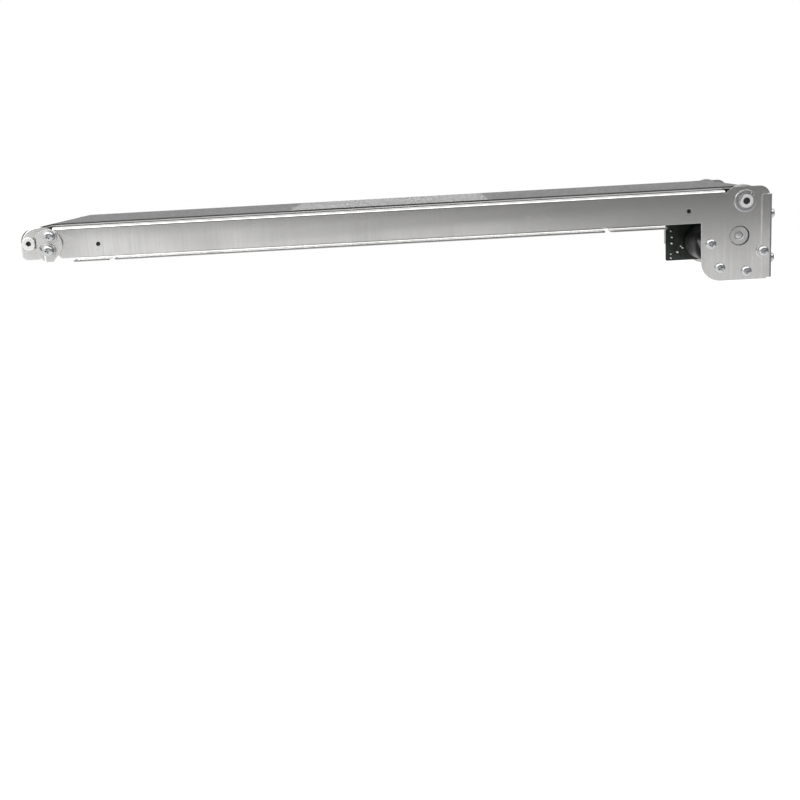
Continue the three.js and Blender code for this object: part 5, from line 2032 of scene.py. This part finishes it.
@dataclass
class ControlBoard:
    """The board behind the motor, with its solder, small parts, header and capacitor.

    Places on the board are X and Z from its upper corner on the idler's side.
    """

    low: Point3 = box_of("driver_board")[0]
    high: Point3 = box_of("driver_board")[1]
    corner: float = 1.2
    hole_inset: float = 3.0
    hole_radius: float = 1.3
    joints: Sequence[Point] = (
        (4.26, -6.36),
        (5.22, -11.49),
        (4.96, -16.41),
        (12.43, -19.12),
        (13.82, -20.43),
        (9.70, -23.83),
        (4.18, -25.26),
        (4.17, -28.48),
    )
    joint_radii: Sequence[float] = (0.9, 1.05, 1.2)
    joint_rise: float = 0.8
    joint_fall: float = 1.4
    terminal_from_axis: float = 8.0
    terminal_joint: Sequence[Point] = ((1.7, -0.05), (1.5, 0.35), (0.6, 1.1), (0.0, 1.2))
    chips: Sequence[tuple[float, float, float, float, float]] = (
        (33.52, -6.21, 5.0, 4.0, 1.4),
        (23.02, -25.21, 6.2, 5.0, 1.5),
        (37.52, -24.71, 3.0, 2.6, 1.1),
    )
    chip_lift: float = 0.1
    leg_half: float = 0.2
    leg_span: Point = (0.02, 0.25)
    leg_reach: Point = (-0.05, 0.9)
    resistors: Point = (28.02, -17.91)
    resistor_count: int = 5
    resistor_step: Point = (3.2, 1.1)
    resistor_half: Point = (0.5, 0.9)
    resistor_rise: float = 0.5
    notch_wall: float = 1.2
    notch_depth: float = 2.4
    notch_half: float = 1.6
    header_pins: int = 4
    pin_half: float = 0.32
    pin_foot: float = 0.6
    pin_below_rim: float = 1.4
    capacitor_radius: float = radius_of("board_capacitor")
    capacitor_foot: Sequence[Point] = (
        (0.5, 0.0),
        (0.1, 0.3),
        (0.0, 0.8),
        (0.0, 1.2),
        (0.3, 1.5),
        (0.0, 1.9),
    )
    capacitor_round: float = 0.45
    sleeve_edge: Point = (0.8, 0.15)
    sleeve_slope: float = 0.1

    def _place(self, x: float, z: float) -> Point:
        """A place on the board as X and Z of the frame."""
        return self.low[0] + x, self.high[2] + z

    def _panel(self) -> bmesh.types.BMesh:
        """The board with rounded corners and two fixing holes.

        Returns:
            The mesh.
        """
        (left, front, foot), (right, back, head), inset = self.low, self.high, self.corner
        corners = [
            (right - inset, head - inset),
            (left + inset, head - inset),
            (left + inset, foot + inset),
            (right - inset, foot + inset),
        ]
        outline = [
            polar(corner, inset, math.pi / 2 * number + turn)
            for number, corner in enumerate(corners)
            for turn in quarter(5)
        ]
        x, inner = right - self.hole_inset, (head - self.hole_inset, foot + self.hole_inset)
        holes = [ring_points((x, z), self.hole_radius, 24) for z in inner]
        return soften(plate(outline, front, back, holes), 0.08, 1, 60.0)

    def _domes(self) -> bmesh.types.BMesh:
        """The solder on the front face, and round the motor's terminals on the back.

        Returns:
            All of it as one mesh.
        """
        shapes, front, back = [], self.low[1], self.high[1]
        top = front - self.joint_rise
        for index, place in enumerate(self.joints):
            radius = self.joint_radii[index % 3]
            curve = [
                (radius * math.cos(t) ** self.joint_fall, front - self.joint_rise * math.sin(t))
                for t in quarter(5)[:-1]
            ]
            shapes.append(spun([(radius, front + 0.05), *curve, (0.0, top)], self._place(*place), 16))
        collar = [(r, back + y) for r, y in self.terminal_joint]
        for x in (MOTOR[0] - self.terminal_from_axis, MOTOR[0] + self.terminal_from_axis):
            shapes.append(spun(collar, (x, MOTOR[1]), 20))
        return merged(*shapes)

    def _bodies(self) -> bmesh.types.BMesh:
        """The black bodies of the chips.

        Returns:
            All of them as one mesh.
        """
        shapes, foot = [], self.high[1] + self.chip_lift
        for dx, dz, width, height, rise in self.chips:
            x, z = self._place(dx, dz)
            low = (x - width / 2, foot, z - height / 2)
            shapes.append(block(low, (x + width / 2, foot + rise, z + height / 2)))
        return soften(merged(*shapes), 0.15, 2)

    def _legs(self) -> bmesh.types.BMesh:
        """The tinned legs of the chips.

        Returns:
            All of them as one mesh.
        """
        shapes, (foot, top) = [], (self.high[1] + y for y in self.leg_span)
        for dx, dz, width, height, _ in self.chips:
            x, z = self._place(dx, dz)
            count = 4 if width > 4 else 2
            for index in range(count):
                at = x - width / 2 + width * (index + 0.5) / count
                for sign in (-1, 1):
                    z0, z1 = sorted(z + sign * (height / 2 + reach) for reach in self.leg_reach)
                    shapes.append(block((at - self.leg_half, foot, z0), (at + self.leg_half, top, z1)))
        return merged(*shapes)

    def _resistors(self) -> bmesh.types.BMesh:
        """Small chip resistors in a short staggered row.

        Returns:
            All of them as one mesh.
        """
        shapes, foot = [], self.high[1] + self.leg_span[0]
        (along, aside), (half_x, half_z) = self.resistor_step, self.resistor_half
        for index in range(self.resistor_count):
            dx, dz = self.resistors
            x, z = self._place(dx + along * index, dz + aside * (index % 2))
            top = self.high[1] + self.resistor_rise
            shapes.append(block((x - half_x, foot, z - half_z), (x + half_x, top, z + half_z)))
        return soften(merged(*shapes), 0.06, 1)

    def _header(self) -> bmesh.types.BMesh:
        """The open white header, with a notch in its long wall.

        Returns:
            The mesh.
        """
        mesh = soften(cad_copy("board_connector"), 0.18, 2, 40.0)
        low, high = box_of("board_connector")
        middle = (low[2] + high[2]) / 2
        notch = block(
            (high[0] - self.notch_wall, high[1] - self.notch_depth, middle - self.notch_half),
            (high[0] + 1.0, high[1] + 1.0, middle + self.notch_half),
        )
        return carved(mesh, notch)

    def _pins(self) -> bmesh.types.BMesh:
        """The square pins in the header.

        Returns:
            All of them as one mesh.
        """
        low, high = box_of("board_connector")
        x, half = (low[0] + high[0]) / 2, self.pin_half
        foot, tip = low[1] + self.pin_foot, high[1] - self.pin_below_rim
        shapes = []
        for index in range(self.header_pins):
            z = low[2] + (high[2] - low[2]) * (index + 0.5) / self.header_pins
            shapes.append(block((x - half, foot, z - half), (x + half, tip, z + half)))
        return soften(merged(*shapes), 0.1, 1)

    def _can(self) -> bmesh.types.BMesh:
        """The capacitor's sleeved can with a rolled foot.

        Returns:
            The mesh.
        """
        low, high = span_of("board_capacitor")
        radius, (edge, drop) = self.capacitor_radius, self.sleeve_edge
        profile = [
            (0.0, low),
            *[(radius - inset, low + rise) for inset, rise in self.capacitor_foot],
            *fillet(radius, self.capacitor_round, high, 1),
            (radius - edge, high),
            (radius - edge - self.sleeve_slope, high - drop),
            (0.0, high - drop),
        ]
        return spun(profile, axis_of("board_capacitor"), 48)

    def build(self, finishes: Finishes) -> None:
        """Adds the board and what is on it.

        Args:
            finishes: The materials.
        """
        show("driver_board_panel", self._panel(), Body.FRAME, Slot.BOARD, finishes.board, ["driver_board"])
        show("driver_board_solder", self._domes(), Body.FRAME, Slot.BRIGHT, finishes.solder)
        show("driver_board_chips", self._bodies(), Body.FRAME, Slot.BLACK, finishes.black)
        show("driver_board_chip_legs", self._legs(), Body.FRAME, Slot.BRIGHT, finishes.solder)
        show("driver_board_resistors", self._resistors(), Body.FRAME, Slot.BLACK, finishes.black)
        header = self._header()
        show("board_connector_header", header, Body.FRAME, Slot.WHITE, finishes.white, ["board_connector"])
        show("board_connector_pins", self._pins(), Body.FRAME, Slot.BRIGHT, finishes.pins)
        can = self._can()
        show("board_capacitor_sleeved", can, Body.FRAME, Slot.BLACK, finishes.sleeve, ["board_capacitor"])


@dataclass(frozen=True)
class SoftBox:
    """An area lamp with its middle, what it looks at, its size and its power."""

    name: str
    place: Point3
    target: Point3
    size: Point
    power: float
    gloss_only: bool = False

    def build(self) -> None:
        """Adds the lamp."""
        data = bpy.data.lights.new(self.name, "AREA")
        data.shape = "RECTANGLE"
        data.size, data.size_y = self.size
        data.energy = self.power
        lamp = bpy.data.objects.new(self.name, data)
        aim = Vector(self.target) - Vector(self.place)
        turned = aim.to_track_quat("-Z", "Y").to_matrix().to_4x4()
        lamp.matrix_world = Matrix.Translation(self.place) @ turned
        lamp.visible_diffuse = not self.gloss_only
        bpy.context.scene.collection.objects.link(lamp)


@dataclass
class Studio:
    """Floor, cards, world, lamps and camera; places are in metres, the camera's in millimetres."""

    floor_drop: float = -0.5
    floor_tone: float = 0.86
    matt: float = 0.9
    floor_size: float = 9.0
    floor_glow: float = 0.62
    world_level: float = 0.6
    card_tone: float = 0.34
    front_card: Sequence[Point3] = (
        (-0.68, -1.3, -0.12),
        (-0.635, -1.3, -0.12),
        (-0.615, -1.3, -0.035),
        (-0.04, -1.3, -0.078),
        (0.15, -1.3, -0.09),
        (0.33, -1.3, -0.118),
        (1.5, -1.3, -0.122),
        (1.5, -1.3, 0.8),
        (-0.68, -1.3, 0.8),
    )
    side_card: Sequence[Point3] = ((1.5, -1.3, -0.45), (1.5, 2.2, -0.45), (1.5, 2.2, 0.8), (1.5, -1.3, 0.8))
    pale_tone: float = 0.6
    pale_glow: float = 0.36
    pale_card: Sequence[Point3] = (
        (0.42, -1.3, -0.4),
        (1.5, -1.3, -0.4),
        (1.5, -1.3, -0.123),
        (0.42, -1.3, -0.12),
    )
    top_card: Sequence[Point3] = ((-1.0, -0.15, 1.8), (1.0, -0.15, 1.8), (1.0, 0.6, 1.8), (-1.0, 0.6, 1.8))
    lamps: Sequence[SoftBox] = (
        SoftBox("key_left", (-0.9, -1.2, 1.1), (-0.1, 0.0, 0.0), (1.5, 1.1), 9.0),
        SoftBox("top_fill", (0.1, 1.2, 1.2), (0.0, 0.0, 0.0), (2.6, 1.5), 9.0),
        SoftBox("left_gloss", (-1.6, 0.2, 1.3), (-0.25, 0.0, 0.0), (2.0, 2.0), 15.0, gloss_only=True),
        SoftBox("front_gloss", (0.05, -0.8, 1.1), (0.0, 0.0, 0.0), (3.0, 0.7), 12.0, gloss_only=True),
    )
    focal_pixels: float = 1150.3
    picture: int = 800
    sensor: float = 36.0
    sight: Point = (0.01, 50.0)
    eye: Point3 = (26.73, -948.9, 77.0)
    pan: float = 1.4709
    tilt_down: float = 12.7425
    roll: float = -3.2773

    @staticmethod
    def _seen(graph: Graph) -> bpy.types.NodeSocket:
        """Tells the rays that see the surround from those that light the object.

        Args:
            graph: The graph to add to.

        Returns:
            1 for rays of the camera, of mirrors and of glass, and 0 for the others.
        """
        path = graph.node("ShaderNodeLightPath")
        direct = graph.math("MAXIMUM", path.outputs["Is Camera Ray"], path.outputs["Is Glossy Ray"])
        return graph.math("MAXIMUM", direct, path.outputs["Is Transmission Ray"])

    def _world(self) -> None:
        """A white surround that lights the object at a lower level."""
        world = bpy.data.worlds.new("studio")
        bpy.context.scene.world = world
        world.use_nodes = True
        graph = Graph(world.node_tree)
        world.node_tree.nodes.clear()
        sky = graph.node("ShaderNodeBackground")
        sky.inputs["Color"].default_value = (1.0, 1.0, 1.0, 1.0)
        level = graph.ramp(self._seen(graph), 0.0, 1.0, self.world_level, 1.0)
        graph.link(level, sky.inputs["Strength"])
        end = graph.node("ShaderNodeOutputWorld")
        graph.link(sky.outputs[0], end.inputs[0])

    @staticmethod
    def _sheet(name: str, corners: Sequence[Point3], material: bpy.types.Material) -> bpy.types.Object:
        """Adds a flat staged sheet.

        Args:
            name: Its name.
            corners: Its corners, in metres.
            material: Its finish.

        Returns:
            The new object.
        """
        mesh = bmesh.new()
        mesh.faces.new([mesh.verts.new(c) for c in corners])
        data = bpy.data.meshes.new(name)
        mesh.to_mesh(data)
        mesh.free()
        data.materials.append(material)
        sheet = bpy.data.objects.new(name, data)
        bpy.context.scene.collection.objects.link(sheet)
        sheet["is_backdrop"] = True
        return sheet

    def _floor(self) -> None:
        """The white floor, which keeps the object's shadow."""
        material, graph, shader = new_material("white_floor")
        tone = self.floor_tone
        shader.inputs["Base Color"].default_value = (tone, tone, tone, 1.0)
        shader.inputs["Roughness"].default_value = self.matt
        shader.inputs["Specular IOR Level"].default_value = 0.0
        shader.inputs["Emission Color"].default_value = (1.0, 1.0, 1.0, 1.0)
        glow = graph.math("MULTIPLY", self._seen(graph), self.floor_glow)
        graph.link(glow, shader.inputs["Emission Strength"])
        reach = self.floor_size / 2
        low = self.floor_drop
        corners = [(-reach, -reach, low), (reach, -reach, low), (reach, reach, low), (-reach, reach, low)]
        self._sheet("floor", corners, material)

    def _cards(self) -> None:
        """Grey cards beside and above the object, which show in its steel but not to the camera."""
        cards = (
            ("front_card", self.front_card, self.card_tone, 0.0),
            ("side_card", self.side_card, self.card_tone, 0.0),
            ("pale_card", self.pale_card, self.pale_tone, self.pale_glow),
            ("top_card", self.top_card, self.card_tone / 2, 0.0),
        )
        for name, corners, tone, glow in cards:
            material, _, shader = new_material(name)
            shader.inputs["Base Color"].default_value = (tone, tone, tone, 1.0)
            shader.inputs["Emission Color"].default_value = (1.0, 1.0, 1.0, 1.0)
            shader.inputs["Emission Strength"].default_value = glow
            shader.inputs["Roughness"].default_value = self.matt
            self._sheet(name, corners, material).visible_camera = False

    def _camera(self) -> None:
        """The camera of the photograph's upper view."""
        data = bpy.data.cameras.new("camera")
        data.sensor_width = self.sensor
        data.lens = self.focal_pixels * self.sensor / self.picture
        data.clip_start, data.clip_end = self.sight
        camera = bpy.data.objects.new("camera", data)
        pose = Matrix.Translation(spot(*self.eye))
        for degrees, axis in ((self.pan, "Z"), (90.0 - self.tilt_down, "X"), (self.roll, "Z")):
            pose = pose @ Matrix.Rotation(math.radians(degrees), 4, axis)
        camera.matrix_world = pose
        bpy.context.scene.collection.objects.link(camera)
        bpy.context.scene.camera = camera

    def build(self) -> None:
        """Adds the studio."""
        self._world()
        self._floor()
        self._cards()
        for lamp in self.lamps:
            lamp.build()
        self._camera()


def plain(bounds: Iterable) -> list:
    """The same numbers as plain nested lists."""
    return [plain(part) if isinstance(part, (tuple, list, Vector)) else float(part) for part in bounds]


def main() -> None:
    """Builds every assembly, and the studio."""
    logging.basicConfig(level=logging.INFO, format="%(message)s")
    scene = bpy.context.scene
    scene.view_settings.view_transform = "Standard"
    before = plain(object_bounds())
    finishes = Finishes()
    for assembly in (
        Sheetwork(),
        Screws(),
        Belt(),
        Tensioners(),
        Idler(),
        DriveRoller(),
        Gearbox(),
        Motor(),
        ControlBoard(),
    ):
        assembly.build(finishes)
    Studio().build()
    {"cad": before, "looks": plain(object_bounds())}


if __name__ == "__main__":
    main()
